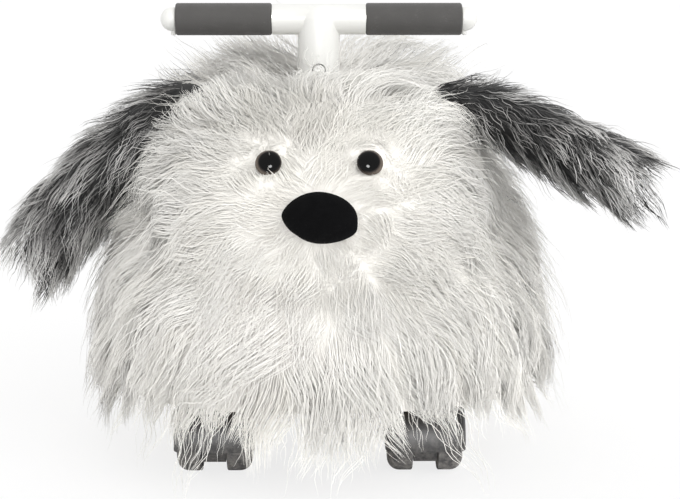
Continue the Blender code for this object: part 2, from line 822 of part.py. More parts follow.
def make_nose(head, velour):
    """Padded oval nose, sunk by half into the muzzle."""
    spot = (0, nose_front + nose_half_depth, nose_height)
    combine(head, nose_form(seat_gap), matrix=moved(*spot))
    place("nose", finish_edges(mesh_from(nose_form(0), "nose"), 80.0), velour, spot)


def make_eyes(head, glossy, washer_plastic):
    """Domed eye with a shank through the cloth, held by a washer inside the head."""
    for name, side in (("left", 1), ("right", -1)):
        x = side * eye_spacing / 2
        spot = surface_place(head, x, eye_height)
        turn = Euler((radians(90.0 - eye_up_angle), 0, radians(side * eye_out_angle)), "XYZ")
        outward = turn.to_matrix() @ Vector((0, 0, 1))
        origin = spot - outward * eye_sink
        frame = Matrix.LocRotScale(origin, turn, None)
        shank = eye_shank_radius + seat_gap
        pocket = washer_radius + seat_gap
        pocket_top = -washer_depth + seat_gap
        pocket_low = -washer_depth - washer_thickness - seat_gap
        end = -eye_shank_length - seat_gap
        hole = [(0, end), (shank, end), (shank, pocket_low), (pocket, pocket_low), (pocket, pocket_top),
                (shank, pocket_top), (shank, -seat_gap), (eye_radius + seat_gap, -seat_gap),
                (eye_radius + seat_gap, eye_dome + eye_radius), (0, eye_dome + eye_radius)]
        combine(head, turned(hole, eye_sides), matrix=frame)
        dome = [(0, -eye_shank_length), (eye_shank_radius, -eye_shank_length), (eye_shank_radius, 0),
                (eye_radius, 0), (eye_radius, eye_flange)]
        for step in range(1, eye_dome_steps):
            a = pi / 2 * step / eye_dome_steps
            dome.append((eye_radius * cos(a), eye_flange + (eye_dome - eye_flange) * sin(a)))
        dome.append((0, eye_dome))
        eye = mesh_from(turned(dome, eye_sides), "eye")
        place("eye_" + name, finish_edges(eye), glossy, origin, turn)
        bore = round_out(eye_shank_radius + axle_running_gap, eye_sides)
        disc = [(bore, -washer_depth - washer_thickness), (washer_radius, -washer_depth - washer_thickness),
                (washer_radius, -washer_depth), (bore, -washer_depth)]
        washer = mesh_from(turned(disc, eye_sides, tube=True), "eye_washer")
        place("eye_washer_" + name, finish_edges(washer), washer_plastic, origin, turn)


# Ears and tail

def tuft_form(length, half_width, over, under, points, side, sweep):
    """Tapering tuft that runs out along X from its bead, with more pile above than below."""
    rings = []
    shares = zip(tuft_along_shares, tuft_width_shares, tuft_over_shares, tuft_under_shares)
    for along, width, rise, drop in shares:
        ring = []
        for i in range(points):
            a = 2 * pi * (i + 0.5) / points
            depth = over * rise if sin(a) > 0 else under * drop
            ring.append((side * length * along, half_width * width * cos(a), depth * sin(a)))
        rings.append(ring)
    rings.append([(side * length, 0, 0)])
    form = loft(rings)
    turn = Matrix.Rotation(radians(-side * sweep), 4, "Z")
    bmesh.ops.transform(form, matrix=turn, verts=form.verts)
    return form


def make_tuft(name, form, bead_radius, bead_half_length, fur, origin, turn):
    bead = rod(bead_radius, -bead_half_length, bead_half_length, bead_sides, "Y")
    tuft = place(name, mesh_from(form, name), None, origin, turn)
    combine(tuft, bead, "UNION")
    finish_piece(tuft, fur, 60.0)


def make_ears(fur):
    sides = (("left", 1, ear_left_length, ear_left_droop, ear_left_sweep),
             ("right", -1, ear_right_length, ear_right_droop, ear_right_sweep))
    for name, side, length, droop, sweep in sides:
        form = tuft_form(length, ear_half_width, ear_over, ear_under, ear_points, side, sweep)
        origin = (side * ear_hinge_side, ear_hinge_place, ear_hinge_height)
        turn = (0, radians(side * droop), 0)
        make_tuft("ear_" + name, form, ear_bead_radius, ear_bead_half_length, fur, origin, turn)


def make_tail(fur):
    form = tuft_form(tail_length, tail_half_width, tail_over, tail_under, tail_points, 1, 0.0)
    origin = (0, tail_hinge_place, tail_hinge_height)
    turn = Euler((0, radians(tail_droop), radians(90.0)), "XYZ")
    make_tuft("tail", form, tail_bead_radius, tail_bead_half_length, fur, origin, turn)


def main():
    clear_scene()
    wood = make_material("birch_ply", (0.62, 0.47, 0.30), 0.6)
    caster_plastic = make_material("dark_grey_nylon", (0.055, 0.053, 0.056), 0.45)
    wheel_plastic = make_material("grey_wheel_plastic", (0.085, 0.080, 0.083), 0.5)
    steel = make_material("zinc_steel", (0.62, 0.62, 0.60), 0.35, 1.0)
    white_plastic = make_material("white_plastic", (0.86, 0.86, 0.83), 0.35)
    grip_foam = make_material("grey_grip_foam", (0.10, 0.095, 0.09), 0.8)
    foam = make_material("upholstery_foam", (0.85, 0.80, 0.62), 0.9)
    white_fur = make_material("white_long_pile", (0.88, 0.87, 0.82), 0.9)
    grey_fur = make_material("charcoal_long_pile", (0.06, 0.06, 0.06), 0.9)
    velour = make_material("black_velour", (0.01, 0.01, 0.01), 0.95)
    glossy = make_material("eye_plastic", (0.03, 0.02, 0.015), 0.08)
    washer_plastic = make_material("washer_plastic", (0.75, 0.75, 0.72), 0.5)
    cambric = make_material("black_cambric", (0.03, 0.03, 0.03), 0.95)
    make_board(wood)
    make_bottom_cloth(cambric)
    make_casters(caster_plastic, wheel_plastic, steel)
    make_post(steel, white_plastic)
    make_tee(white_plastic)
    make_button(white_plastic, steel)
    make_bar(white_plastic, grip_foam, steel)
    make_core(foam)
    make_cover(white_fur)
    make_skirt(white_fur)
    head = make_head(white_fur)
    make_nose(head, velour)
    make_eyes(head, glossy, washer_plastic)
    finish_piece(head, white_fur, 60.0)
    make_ears(grey_fur)
    make_tail(grey_fur)


main()
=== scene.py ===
from math import atan2, cos, pi, radians, sin
import bmesh
import bpy
import numpy as np
from mathutils import Euler, Matrix, Vector


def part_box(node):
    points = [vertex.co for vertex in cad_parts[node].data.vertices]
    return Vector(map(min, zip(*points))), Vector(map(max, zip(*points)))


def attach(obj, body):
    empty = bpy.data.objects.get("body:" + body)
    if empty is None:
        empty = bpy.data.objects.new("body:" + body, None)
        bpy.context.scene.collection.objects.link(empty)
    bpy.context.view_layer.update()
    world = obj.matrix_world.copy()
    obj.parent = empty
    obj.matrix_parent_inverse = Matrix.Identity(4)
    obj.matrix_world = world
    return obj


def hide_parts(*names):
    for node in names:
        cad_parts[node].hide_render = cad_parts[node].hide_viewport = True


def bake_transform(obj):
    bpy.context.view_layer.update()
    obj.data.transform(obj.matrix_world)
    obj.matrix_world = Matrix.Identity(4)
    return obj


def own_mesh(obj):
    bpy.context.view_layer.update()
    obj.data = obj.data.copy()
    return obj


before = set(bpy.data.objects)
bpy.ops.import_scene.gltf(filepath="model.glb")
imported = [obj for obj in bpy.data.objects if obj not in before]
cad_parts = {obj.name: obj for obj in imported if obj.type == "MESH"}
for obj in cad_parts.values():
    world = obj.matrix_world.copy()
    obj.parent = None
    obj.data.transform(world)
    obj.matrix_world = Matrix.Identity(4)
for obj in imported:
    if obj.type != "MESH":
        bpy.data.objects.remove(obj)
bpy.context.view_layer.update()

# Shaggy plush dog to sit on, with a T handle and twin-wheel casters.
# Metres, +Z up. The dog looks along -Y, its left side is at +X.


# Studio

studio = {
    "imageWidth": 680,
    "focalPixels": 1687.0,     # focal length in pixels of the picture
    "sensorWidth": 36.0,
    "clipEnd": 100.0,
    "aim": (0.0165, 0.0, 0.1453),
    "distance": 1.35,
    "elevation": 11.0,
    "floorSize": 40.0,
    "floorWhite": 0.93,
    "floorLook": {"Roughness": 0.9, "Specular IOR Level": 0.1},
    "floorGlow": 0.79,         # how much of the floor the camera sees as plain white
    "skyLevel": 0.83,
    "pileBounces": 12,         # white pile hands light on from strand to strand
    # Level, softness in degrees, turn; the last one only makes the glint in the eyes
    "suns": {"keySun": (1.42, 60.0, (58.0, 0.0, 38.0)), "frontSun": (0.58, 50.0, (84.0, 0.0, 4.0)),
             "backSun": (0.50, 50.0, (50.0, 0.0, 195.0)), "glintSun": (3.0, 18.0, (72.0, 0.0, 0.0))},
}


def makeCamera():
    view = bpy.data.cameras.new("camera")
    view.sensor_width = studio["sensorWidth"]
    view.lens = studio["focalPixels"] / studio["imageWidth"] * view.sensor_width
    view.clip_end = studio["clipEnd"]
    camera = bpy.data.objects.new("camera", view)
    bpy.context.scene.collection.objects.link(camera)
    up = radians(studio["elevation"])
    side, _, height = studio["aim"]
    level = studio["distance"] * cos(up)
    camera.location = (0.0, -level, height + studio["distance"] * sin(up))
    camera.rotation_euler = (pi / 2 - up, 0.0, -atan2(side, level))
    bpy.context.scene.camera = camera


def makeSun(name, level, softness, turn, glint):
    lamp = bpy.data.lights.new(name, "SUN")
    lamp.energy = level
    lamp.angle = radians(softness)
    thing = bpy.data.objects.new(name, lamp)
    thing.rotation_euler = [radians(a) for a in turn]
    thing.visible_glossy = glint
    thing.visible_diffuse = not glint
    bpy.context.scene.collection.objects.link(thing)


def makeFloor():
    half = studio["floorSize"] / 2
    mesh = bpy.data.meshes.new("floor")
    mesh.from_pydata([(-half, -half, 0), (half, -half, 0), (half, half, 0), (-half, half, 0)], [],
                     [(0, 1, 2, 3)])
    paint, shader = newMaterial("studioFloor")
    setInputs(shader, {"Base Color": (*[studio["floorWhite"]] * 3, 1.0), **studio["floorLook"]})
    tree = paint.node_tree
    seen = addNode(tree, "ShaderNodeLightPath").outputs["Is Camera Ray"]
    plain = addNode(tree, "ShaderNodeEmission", {"Color": (1, 1, 1, 1), "Strength": 1.0}).outputs[0]
    both = addNode(tree, "ShaderNodeMixShader", {0: mathNode(tree, "MULTIPLY", seen, studio["floorGlow"]),
                                                 1: shader.outputs[0], 2: plain}).outputs[0]
    tree.links.new(both, tree.nodes["Material Output"].inputs["Surface"])
    mesh.materials.append(paint)
    placeMesh("floor", mesh)


def makeStudio():
    makeFloor()
    world = bpy.data.worlds.new("studio")
    world.use_nodes = True
    tree = world.node_tree
    tree.nodes.clear()
    rays = addNode(tree, "ShaderNodeLightPath").outputs
    seen = mathNode(tree, "MAXIMUM", rays["Is Camera Ray"], rays["Is Glossy Ray"])
    seen = mathNode(tree, "MAXIMUM", seen, rays["Is Transmission Ray"])
    level = mixValue(tree, seen, studio["skyLevel"], 1.0)
    sky = addNode(tree, "ShaderNodeBackground", {"Color": (1, 1, 1, 1), "Strength": level}).outputs[0]
    tree.links.new(sky, addNode(tree, "ShaderNodeOutputWorld").inputs[0])
    bpy.context.scene.world = world
    for name, values in studio["suns"].items():
        makeSun(name, *values, name == "glintSun")
    bpy.context.scene.view_settings.view_transform = "Standard"
    bpy.context.scene.cycles.diffuse_bounces = studio["pileBounces"]


# Nodes

def addNode(tree, kind, inputs=None, **settings):
    node = tree.nodes.new(kind)
    for key, value in settings.items():
        setattr(node, key, value)
    setInputs(node, inputs or {})
    return node


def setInputs(node, inputs):
    for key, value in inputs.items():
        if isinstance(key, int):
            socket = node.inputs[key]
        else:
            socket = next(s for s in node.inputs if s.name == key and s.enabled)
        if isinstance(value, bpy.types.NodeSocket):
            node.id_data.links.new(value, socket)
        else:
            socket.default_value = value


def outOf(node, name=None):
    return next(s for s in node.outputs if s.enabled and name in (None, s.name))


def newMaterial(name):
    material = bpy.data.materials.new(name)
    material.use_nodes = True
    return material, material.node_tree.nodes["Principled BSDF"]


def ramp(tree, factor, stops, interpolation="LINEAR"):
    node = addNode(tree, "ShaderNodeValToRGB", {"Fac": factor})
    node.color_ramp.interpolation = interpolation
    points = node.color_ramp.elements
    while len(points) < len(stops):
        points.new(0.5)
    for point, (place, colour) in zip(points, stops):
        point.position = place
        point.color = (*colour, 1.0)
    return node.outputs["Color"]


def mathNode(tree, operation, a, b=0.0, c=0.0):
    return addNode(tree, "ShaderNodeMath", {0: a, 1: b, 2: c}, operation=operation).outputs[0]


def mixColour(tree, factor, a, b):
    node = addNode(tree, "ShaderNodeMix", {0: factor}, data_type="RGBA")
    setInputs(node, {"A": a if isinstance(a, bpy.types.NodeSocket) else (*a, 1.0),
                     "B": b if isinstance(b, bpy.types.NodeSocket) else (*b, 1.0)})
    return outOf(node)


def mixValue(tree, factor, low, high):
    return outOf(addNode(tree, "ShaderNodeMix", {0: factor, 2: low, 3: high}, data_type="FLOAT"))


def formTree(name, inputs):
    # A geometry tree with its inputs, given as name: (kind, value)
    tree = bpy.data.node_groups.new(name, "GeometryNodeTree")
    tree.interface.new_socket("Geometry", in_out="OUTPUT", socket_type="NodeSocketGeometry")
    for title, (kind, value) in {"Geometry": ("Geometry", None), **inputs}.items():
        socket = tree.interface.new_socket(title, in_out="INPUT", socket_type="NodeSocket" + kind)
        if value is not None:
            socket.default_value = value
    return tree, addNode(tree, "NodeGroupInput").outputs


def endTree(tree, geometry, material):
    geometry = addNode(tree, "GeometryNodeRealizeInstances", {"Geometry": geometry}).outputs[0]
    geometry = addNode(tree, "GeometryNodeSetMaterial", {"Geometry": geometry, "Material": material}).outputs[0]
    setInputs(addNode(tree, "NodeGroupOutput"), {"Geometry": geometry})
    return tree


def runTree(piece, tree, values):
    # The modifier's inputs are set by their identifiers, before it is first evaluated
    change = piece.modifiers.new(tree.name, "NODES")
    change.node_group = tree
    for item in tree.interface.items_tree:
        if item.in_out == "INPUT" and item.name in values:
            change[item.identifier] = values[item.name]
    return keepResult(piece, piece.name)


# Forms

weldReach = 1e-6


def loft(rings, closed=False):
    # Rings joined in turn; a closed one goes on from its last ring to its first
    form = bmesh.new()
    rows = [[form.verts.new(point) for point in ring] for ring in rings]
    for low, high in zip(rows, rows[1:] + rows[:1] if closed else rows[1:]):
        count = max(len(low), len(high))
        for i in range(count):
            j = (i + 1) % count
            if len(low) == 1:
                form.faces.new((low[0], high[i], high[j]))
            elif len(high) == 1:
                form.faces.new((low[i], low[j], high[0]))
            else:
                form.faces.new((low[i], low[j], high[j], high[i]))
    for end in () if closed else (rows[0], rows[-1]):
        if len(end) > 1:
            form.faces.new(end)
    bmesh.ops.recalc_face_normals(form, faces=form.faces[:])
    return form


def meshOf(form, name):
    mesh = bpy.data.meshes.new(name)
    form.to_mesh(mesh)
    form.free()
    return mesh


def formOf(mesh):
    form = bmesh.new()
    form.from_mesh(mesh)
    return form


def placeMesh(name, mesh):
    piece = bpy.data.objects.new(name, mesh)
    bpy.context.scene.collection.objects.link(piece)
    return piece


def placeForm(name, form):
    return placeMesh(name, meshOf(form, name))


def takeMesh(piece):
    mesh = piece.data
    bpy.data.objects.remove(piece, do_unlink=True)
    return mesh


def keepResult(piece, name):
    # The evaluated mesh becomes a plain one, and the modifiers go
    result = bpy.data.meshes.new_from_object(piece.evaluated_get(bpy.context.evaluated_depsgraph_get()))
    result.name = name
    piece.modifiers.clear()
    piece.data = result
    return piece


def shadeUpTo(mesh, angle):
    # Smooth shading, with the edges sharper than the angle left crisp
    mesh.shade_smooth()
    mesh.set_sharp_from_angle(angle=radians(angle))
    return mesh


def quarterTurn(steps):
    return [pi / 2 * step / steps for step in range(steps + 1)]


def turnedRings(profile, sides, axis="Z"):
    rings = []
    for radius, along in profile:
        if radius == 0:
            ring = [(0, 0, along)]
        else:
            angles = [2 * pi * (i + 0.5) / sides for i in range(sides)]
            ring = [(radius * cos(a), radius * sin(a), along) for a in angles]
        if axis == "X":
            ring = [(z, x, y) for x, y, z in ring]
        rings.append(ring)
    return rings


def turned(profile, sides, axis="Z"):
    return loft(turnedRings(profile, sides, axis))


def rod(radius, low, high, sides, axis="Z"):
    return turned([(0, low), (radius, low), (radius, high), (0, high)], sides, axis)


def moveForm(form, matrix):
    bmesh.ops.transform(form, matrix=matrix, verts=form.verts)
    return form


def shiftForm(form, x, y, z):
    return moveForm(form, Matrix.Translation((x, y, z)))


def blockForm(low, high):
    form = bmesh.new()
    bmesh.ops.create_cube(form, size=1.0)
    size = Vector(high) - Vector(low)
    return moveForm(form, Matrix.Translation((Vector(high) + Vector(low)) / 2) @ Matrix.Diagonal((*size, 1.0)))


def cutForm(piece, form, operation="DIFFERENCE"):
    # Cut the form out of the piece, or join it on
    tool = placeForm("tool", form)
    change = piece.modifiers.new("shape", "BOOLEAN")
    change.object = tool
    change.operation = operation
    change.solver = "EXACT"
    bpy.context.view_layer.update()
    keepResult(piece, piece.name)
    bpy.data.objects.remove(tool, do_unlink=True)
    return piece


def crispEdges(piece, width, segments, angle=50.0):
    # Small rounds on the edges, then smooth shading
    change = piece.modifiers.new("rounds", "BEVEL")
    change.width = width
    change.segments = segments
    change.limit_method = "ANGLE"
    change.angle_limit = radians(angle)
    shadeUpTo(keepResult(piece, piece.name).data, angle)
    return piece


def settle(piece, body, nodes, finish):
    piece.data.materials.clear()
    piece.data.materials.append(finish)
    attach(piece, body)
    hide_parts(*nodes)
    return piece


def ovalRing(halfX, front, rear, height, power, count):
    ring = []
    middle, halfY = (rear + front) / 2, (rear - front) / 2
    for i in range(count):
        a = 2 * pi * (i + 0.5) / count
        c, s = cos(a), sin(a)
        ring.append((halfX * np.sign(c) * abs(c) ** (2 / power),
                     middle + halfY * np.sign(s) * abs(s) ** (2 / power), height))
    return ring


def smoothStep(low, high, value):
    t = np.clip((value - low) / (high - low), 0.0, 1.0)
    return t * t * (3 - 2 * t)


# Skins that the pile grows on

skin = {
    "voxel": 0.006,
    "smoothing": 12,
    "bodyInset": 0.0065,       # how deep the cloth lies under the combed pile
    "crownInset": 0.0070,
    "faceInset": 0.004,
    "lidRise": 0.0055,         # the cloth is drawn up over and under each eye
    "hem": 0.0645,
    "flowFloor": -0.04,        # the pile that hangs below the hem follows this wall on down
    "flowFlare": 1.07,
    "flowLengthShare": 0.95,
    "bodyPower": 2.7,
    "headPower": 2.4,
    "ringPoints": 64,
    # Height, width, front and rear of each ring, as shares of the body's
    "bodyRingShares": [(0.0, 0.985, 0.95, 0.95), (0.16, 1.0, 1.0, 0.99), (0.38, 0.950, 0.99, 1.0),
                       (0.60, 0.855, 0.76, 0.95), (0.78, 0.690, 0.52, 0.86), (0.905, 0.500, 0.34, 0.72),
                       (0.975, 0.31, 0.18, 0.50)],
    "crownPlace": 0.035,
    # Place along the head, width, top and bottom of each ring, as shares of the head's
    "headRingShares": [(0.08, 0.84, 0.90, 0.75), (0.25, 0.97, 1.0, 0.95), (0.48, 1.0, 1.0, 1.0),
                       (0.70, 0.92, 0.82, 0.92), (0.86, 0.74, 0.58, 0.74), (0.96, 0.48, 0.34, 0.48)],
    "headRear": -0.040,
    "headHalfHeight": 0.090,
    "headMiddle": 0.200,
    "stemHole": -0.030,        # along Y
    "stemHoleRadius": 0.0178,
    "stemHoleFloor": 0.2405,
    "stemHoleRoof": 0.32,
    "stemHoleSides": 48,
    "creaseAngle": 60.0,
    "fill": 0.9,
}


def bodyLoft():
    low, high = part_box("body_cover")
    flare, length = skin["flowFlare"], skin["flowLengthShare"]
    power, count = skin["bodyPower"], skin["ringPoints"]
    rings = [ovalRing(high.x * flare, low.y * flare * length, high.y * flare * length, skin["flowFloor"],
                      power, count)]
    for height, width, front, rear in skin["bodyRingShares"]:
        rings.append(ovalRing(high.x * width, low.y * front, high.y * rear, low.z + (high.z - low.z) * height,
                              power, count))
    return loft(rings + [[(0, skin["crownPlace"], high.z)]])


def headLoft():
    low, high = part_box("head")
    length = skin["headRear"] - low.y
    rings = [[(0, skin["headRear"], skin["headMiddle"])]]
    for along, width, top, bottom in skin["headRingShares"]:
        ring = []
        for x, z, _ in ovalRing(high.x * width, -1.0, 1.0, 0, skin["headPower"], skin["ringPoints"]):
            reach = skin["headHalfHeight"] * (top if z > 0 else bottom)
            ring.append((x, skin["headRear"] - length * along, skin["headMiddle"] + z * reach))
        rings.append(ring)
    return loft(rings + [[(0, low.y, skin["headMiddle"])]])


def readPoints(mesh, what="co"):
    values = np.empty(len(mesh.vertices) * 3, np.float32)
    if what == "co":
        mesh.vertices.foreach_get("co", values)
    else:
        mesh.vertex_normals.foreach_get("vector", values)
    return values.reshape(-1, 3)


def unit(vectors):
    return vectors / np.maximum(np.linalg.norm(vectors, axis=1, keepdims=True), 1e-9)


def tangent(vectors, normals):
    return unit(vectors - normals * np.sum(vectors * normals, axis=1, keepdims=True))


def storeValues(mesh, name, values, kind="FLOAT", domain="POINT"):
    field = "vector" if kind == "FLOAT_VECTOR" else "value"
    attribute = mesh.attributes.new(name, kind, domain)
    number = np.int32 if kind == "INT" else np.float32
    attribute.data.foreach_set(field, np.ascontiguousarray(values, dtype=number).ravel())


# What the skin tells the pile at each point, and the value where nothing else is said; the last one darkens the
# pile's tone between the eyes as painted shade
pileFields = {"pileLength": 1.0, "pileCover": 1.0, "pileDepth": 1.0, "pileDroop": 1.0, "pileCurl": 1.0,
              "pileHem": 0.0, "pileCrest": 0.0, "pileGrey": 0.0, "pileShade": 0.0}


def storeComb(mesh, comb, normals, fields):
    storeValues(mesh, "comb", comb, "FLOAT_VECTOR")
    storeValues(mesh, "skinNormal", normals, "FLOAT_VECTOR")
    for name, value in {**pileFields, **fields}.items():
        storeValues(mesh, name, np.broadcast_to(value, len(mesh.vertices)))


def weighted(effects, weights):
    total = 1.0
    for name, weight in weights.items():
        total = total + weight * effects[name]
    return total


# Where each effect begins and where it is whole: a distance or a place, or a share where its name says so
spans = {
    "lid": (0.021, 0.013),             # from the eye
    "lidUpShare": (0.35, 0.75),        # 1 straight above or below the eye
    "faceSkin": (0.115, 0.045),        # from the nose
    "eyeSkin": (0.05, 0.02),
    "crownSkin": (0.20, 0.27),         # height
    "sideways": (0.0, 0.05),           # from the middle
    "faceComb": (0.20, 0.07),          # from the nose
    "faceFront": (0.02, -0.08),        # along the body
    "hanging": (0.21, 0.11),           # height
    "crownHeight": (0.235, 0.262),
    "crownWidth": (0.105, 0.070),
    "crownRear": (0.12, 0.06),
    "behindStem": (-0.055, -0.020),
    "greyLeft": (0.030, 0.012),        # from the middle of a grey tuft
    "greyRight": (0.026, 0.010),
    "patch": (0.045, 0.015),
    "overEar": (0.055, 0.020),
    "length": (0.025, 0.125),          # from the nose
    "eyeLength": (0.012, 0.055),
    "eyeRim": (0.0080, 0.0095),
    "hemWide": (0.06, 0.13),           # from the middle
    "hemCaster": (0.035, 0.055),
    "hemSide": (0.115, 0.14),
    "flank": (0.09, 0.15),
    "bridge": (0.075, 0.030),          # from between the eyes
    "tuftDroopShare": (0.1, 0.5),      # along an ear or the tail
    "tuftRootShare": (-0.06, 0.0),
    "tuftFullShare": (0.05, 0.35),
    "tuftTipShare": (0.5, 0.8),
    "tuftTopShare": (0.1, 0.7),        # how far the skin looks up
    "tuftShoulderShare": (0.45, 0.10),
    "tuftLieShare": (0.35, 0.05),
    "tuftGreyShare": (0.66, 0.82),
    "tuftEndShare": (0.25, 0.60),      # how far the skin looks along the tuft
}


def spanOf(name, value):
    return smoothStep(*spans[name], value)


def eyeSpots():
    return [np.array((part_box(n)[0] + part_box(n)[1]) / 2) for n in ("eye_left", "eye_right")]


def noseSpot():
    low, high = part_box("nose")
    return np.array((low + high) / 2)


def distanceTo(points, spot):
    return np.linalg.norm(points - spot, axis=1)


def lidShare(points, eye):
    reach = distanceTo(points, eye)
    return spanOf("lid", reach) * spanOf("lidUpShare", np.abs(points[:, 2] - eye[2]) / reach)


def remeshed(form, name, voxel, smoothing):
    piece = placeForm(name, form)
    remesh = piece.modifiers.new("remesh", "REMESH")
    remesh.mode = "VOXEL"
    remesh.voxel_size = voxel
    soften = piece.modifiers.new("soften", "SMOOTH")
    soften.factor = 0.5
    soften.iterations = smoothing
    return keepResult(piece, name)


def makeBodyFlow():
    form = bodyLoft()
    form.from_mesh(meshOf(headLoft(), "head"))
    flow = remeshed(form, "bodyFlow", skin["voxel"], skin["smoothing"])
    mesh = flow.data
    points, normals = readPoints(mesh), readPoints(mesh, "normal")
    face = spanOf("faceSkin", distanceTo(points, noseSpot()))
    for eye in eyeSpots():
        face = np.maximum(face, spanOf("eyeSkin", distanceTo(points, eye)))
    crown = spanOf("crownSkin", points[:, 2])
    inset = skin["bodyInset"] * (1 - crown) + skin["crownInset"] * crown
    inset = inset * (1 - face) + skin["faceInset"] * face
    for eye in eyeSpots():
        inset -= skin["lidRise"] * lidShare(points, eye)
    mesh.vertices.foreach_set("co", (points - normals * inset[:, None]).ravel())
    mesh.update()
    return flow


combing = {
    "noseDrop": 0.004,
    "faceFan": (1.0, 0.6, 1.0),        # the face's pile fans out from the nose, less so backwards
    "sideFall": (0.35, -0.5),          # elsewhere it lies outwards, and this far back and down
    "outward": (0.9, -0.6),            # at the top, and how much less low down
    "downward": (0.5, 0.5),
    "bodyWeight": 0.9,
    "length": (0.014, 0.052),          # at the nose, and how much more away from it
    "eyeLength": (0.0085, 0.0565),
    "greyPlaces": {"greyLeft": 0.050, "greyRight": -0.070},
    "greyShare": (0.04, 0.46),
    "patchPlace": (0.135, -0.065, 0.222),
    "patchGrey": 0.55,
    "earPlaces": ((0.100, -0.105, 0.242), (-0.104, -0.105, 0.248)),
    # painted shade: how far the pile's tone drops between the eyes
    "bridgePaintedShade": -0.30,
    "hemMargin": 0.001,
    "nosePatch": 0.90,                 # the part of the nose's outline that has no pile under it
    "noseRear": -0.15,
    "stemGap": 0.017,
    "stemFloor": 0.2,
    # The pile ends above the casters, and hangs lower between them and at the sides
    "hemTips": (0.030, 0.020, 0.006),
    "hemLeastShare": 0.15,
    "weights": {
        "pileLength": {"tuft": -0.12, "behind": 0.25, "overEar": 0.12},
        "pileDepth": {"wideHem": 0.4, "behind": 0.9, "flank": 0.3, "overEar": 1.9, "lids": 1.0},
        "pileDroop": {"tuft": -1.9, "behind": -0.9},
        "pileCurl": {"tuft": 0.9, "hem": 0.5, "patch": 0.8},
    },
}


def combBody(mesh):
    points, normals = readPoints(mesh), readPoints(mesh, "normal")
    x, y, z = points.T
    aside = np.abs(x)
    nose = noseSpot() - (0, 0, combing["noseDrop"])
    distance = distanceTo(points, nose)
    bridge = distanceTo(points, np.mean(eyeSpots(), axis=0))
    radial = tangent((points - nose) * combing["faceFan"], normals)
    down = tangent(np.tile((0.0, 0.0, -1.0), (len(points), 1)), normals)
    side = (np.sign(x) * spanOf("sideways", aside))[:, None]
    outward = tangent(np.hstack([side] + [np.full_like(side, part) for part in combing["sideFall"]]), normals)
    faceWeight = (spanOf("faceComb", distance) * spanOf("faceFront", y))[:, None]
    hanging = spanOf("hanging", z)[:, None]
    rest = unit(outward * (combing["outward"][0] + combing["outward"][1] * hanging)
                + down * (combing["downward"][0] + combing["downward"][1] * hanging))
    comb = radial * faceWeight + rest * (1 - faceWeight) * combing["bodyWeight"]

    tuft = spanOf("crownHeight", z) * spanOf("crownWidth", aside) * spanOf("crownRear", y)
    behind = tuft * spanOf("behindStem", y)
    greySpot = np.maximum(*[spanOf(name, np.abs(x - place)) for name, place in combing["greyPlaces"].items()])
    patch = spanOf("patch", distanceTo(points, combing["patchPlace"]))
    overEar = np.maximum(*[spanOf("overEar", distanceTo(points, place)) for place in combing["earPlaces"]])
    length = combing["length"][0] + combing["length"][1] * spanOf("length", distance)
    cover = np.where(z > skin["hem"] + combing["hemMargin"], 1.0, 0.0)
    lids = np.zeros(len(points))
    for eye in eyeSpots():
        reach = distanceTo(points, eye)
        lid = lidShare(points, eye)
        lids = np.maximum(lids, lid)
        comb = comb * (1 - lid[:, None]) + tangent(eye - points, normals) * lid[:, None]
        least, more = combing["eyeLength"]
        length = np.minimum(length, least + more * spanOf("eyeLength", reach))
        cover *= spanOf("eyeRim", reach)
    low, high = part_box("nose")
    half = (high - low) / 2
    oval = np.hypot(x / half.x, (z - (low.z + high.z) / 2) / half.z)
    cover = np.where((oval < combing["nosePatch"]) & (y < combing["noseRear"]), 0.0, cover)
    post = np.hypot(x, y - skin["stemHole"])
    cover = np.where((post < combing["stemGap"]) & (z > combing["stemFloor"]), 0.0, cover)
    lowest, lift, drop = combing["hemTips"]
    tipHeight = lowest + lift * spanOf("hemCaster", aside) - drop * spanOf("hemSide", aside)
    hem = 1 - np.clip((z - tipHeight) / length, combing["hemLeastShare"], 1.0)
    effects = {"tuft": tuft, "behind": behind, "overEar": overEar, "lids": lids, "hem": hem, "patch": patch,
               "wideHem": hem * spanOf("hemWide", aside), "flank": spanOf("flank", x)}
    fields = {name: weighted(effects, row) for name, row in combing["weights"].items()}
    grey = combing["greyShare"][0] + combing["greyShare"][1] * greySpot
    # Between the eyes the pile's tone is lowered, as painted shade
    storeComb(mesh, unit(comb), normals, {
        **fields, "pileLength": length * fields["pileLength"], "pileCover": cover, "pileHem": hem,
        "pileCrest": behind, "pileShade": combing["bridgePaintedShade"] * spanOf("bridge", bridge),
        "pileGrey": np.maximum(behind * grey, combing["patchGrey"] * patch)})


# Each zone has a piece of its own. The limits are those of x, y and z, and a later row goes over an earlier one.
zones = ("face", "chest", "browLeft", "browRight", "flankLeft", "flankRight", "cheekLeft", "cheekRight", "crown",
         "backLeft", "backRight", "rump")
beyond = 1.0
zoneLimits = [
    ("rump", (-beyond, beyond), (-beyond, beyond), (-beyond, beyond)),
    ("backLeft", (-beyond, beyond), (-beyond, 0.16), (-beyond, beyond)),
    ("backRight", (-beyond, 0.0), (-beyond, 0.16), (-beyond, beyond)),
    ("flankLeft", (0.0, beyond), (-beyond, 0.045), (-beyond, beyond)),
    ("flankRight", (-beyond, 0.0), (-beyond, 0.045), (-beyond, beyond)),
    ("cheekLeft", (0.0, beyond), (-beyond, -0.07), (-beyond, beyond)),
    ("cheekRight", (-beyond, 0.0), (-beyond, -0.07), (-beyond, beyond)),
    ("crown", (-beyond, beyond), (-beyond, 0.045), (0.235, beyond)),
    ("face", (-0.075, 0.075), (-beyond, -0.12), (-beyond, beyond)),
    ("chest", (-0.075, 0.075), (-beyond, -0.12), (-beyond, 0.15)),
    ("browLeft", (0.0, beyond), (-beyond, -0.085), (0.235, beyond)),
    ("browRight", (-beyond, 0.0), (-beyond, -0.085), (0.235, beyond)),
]


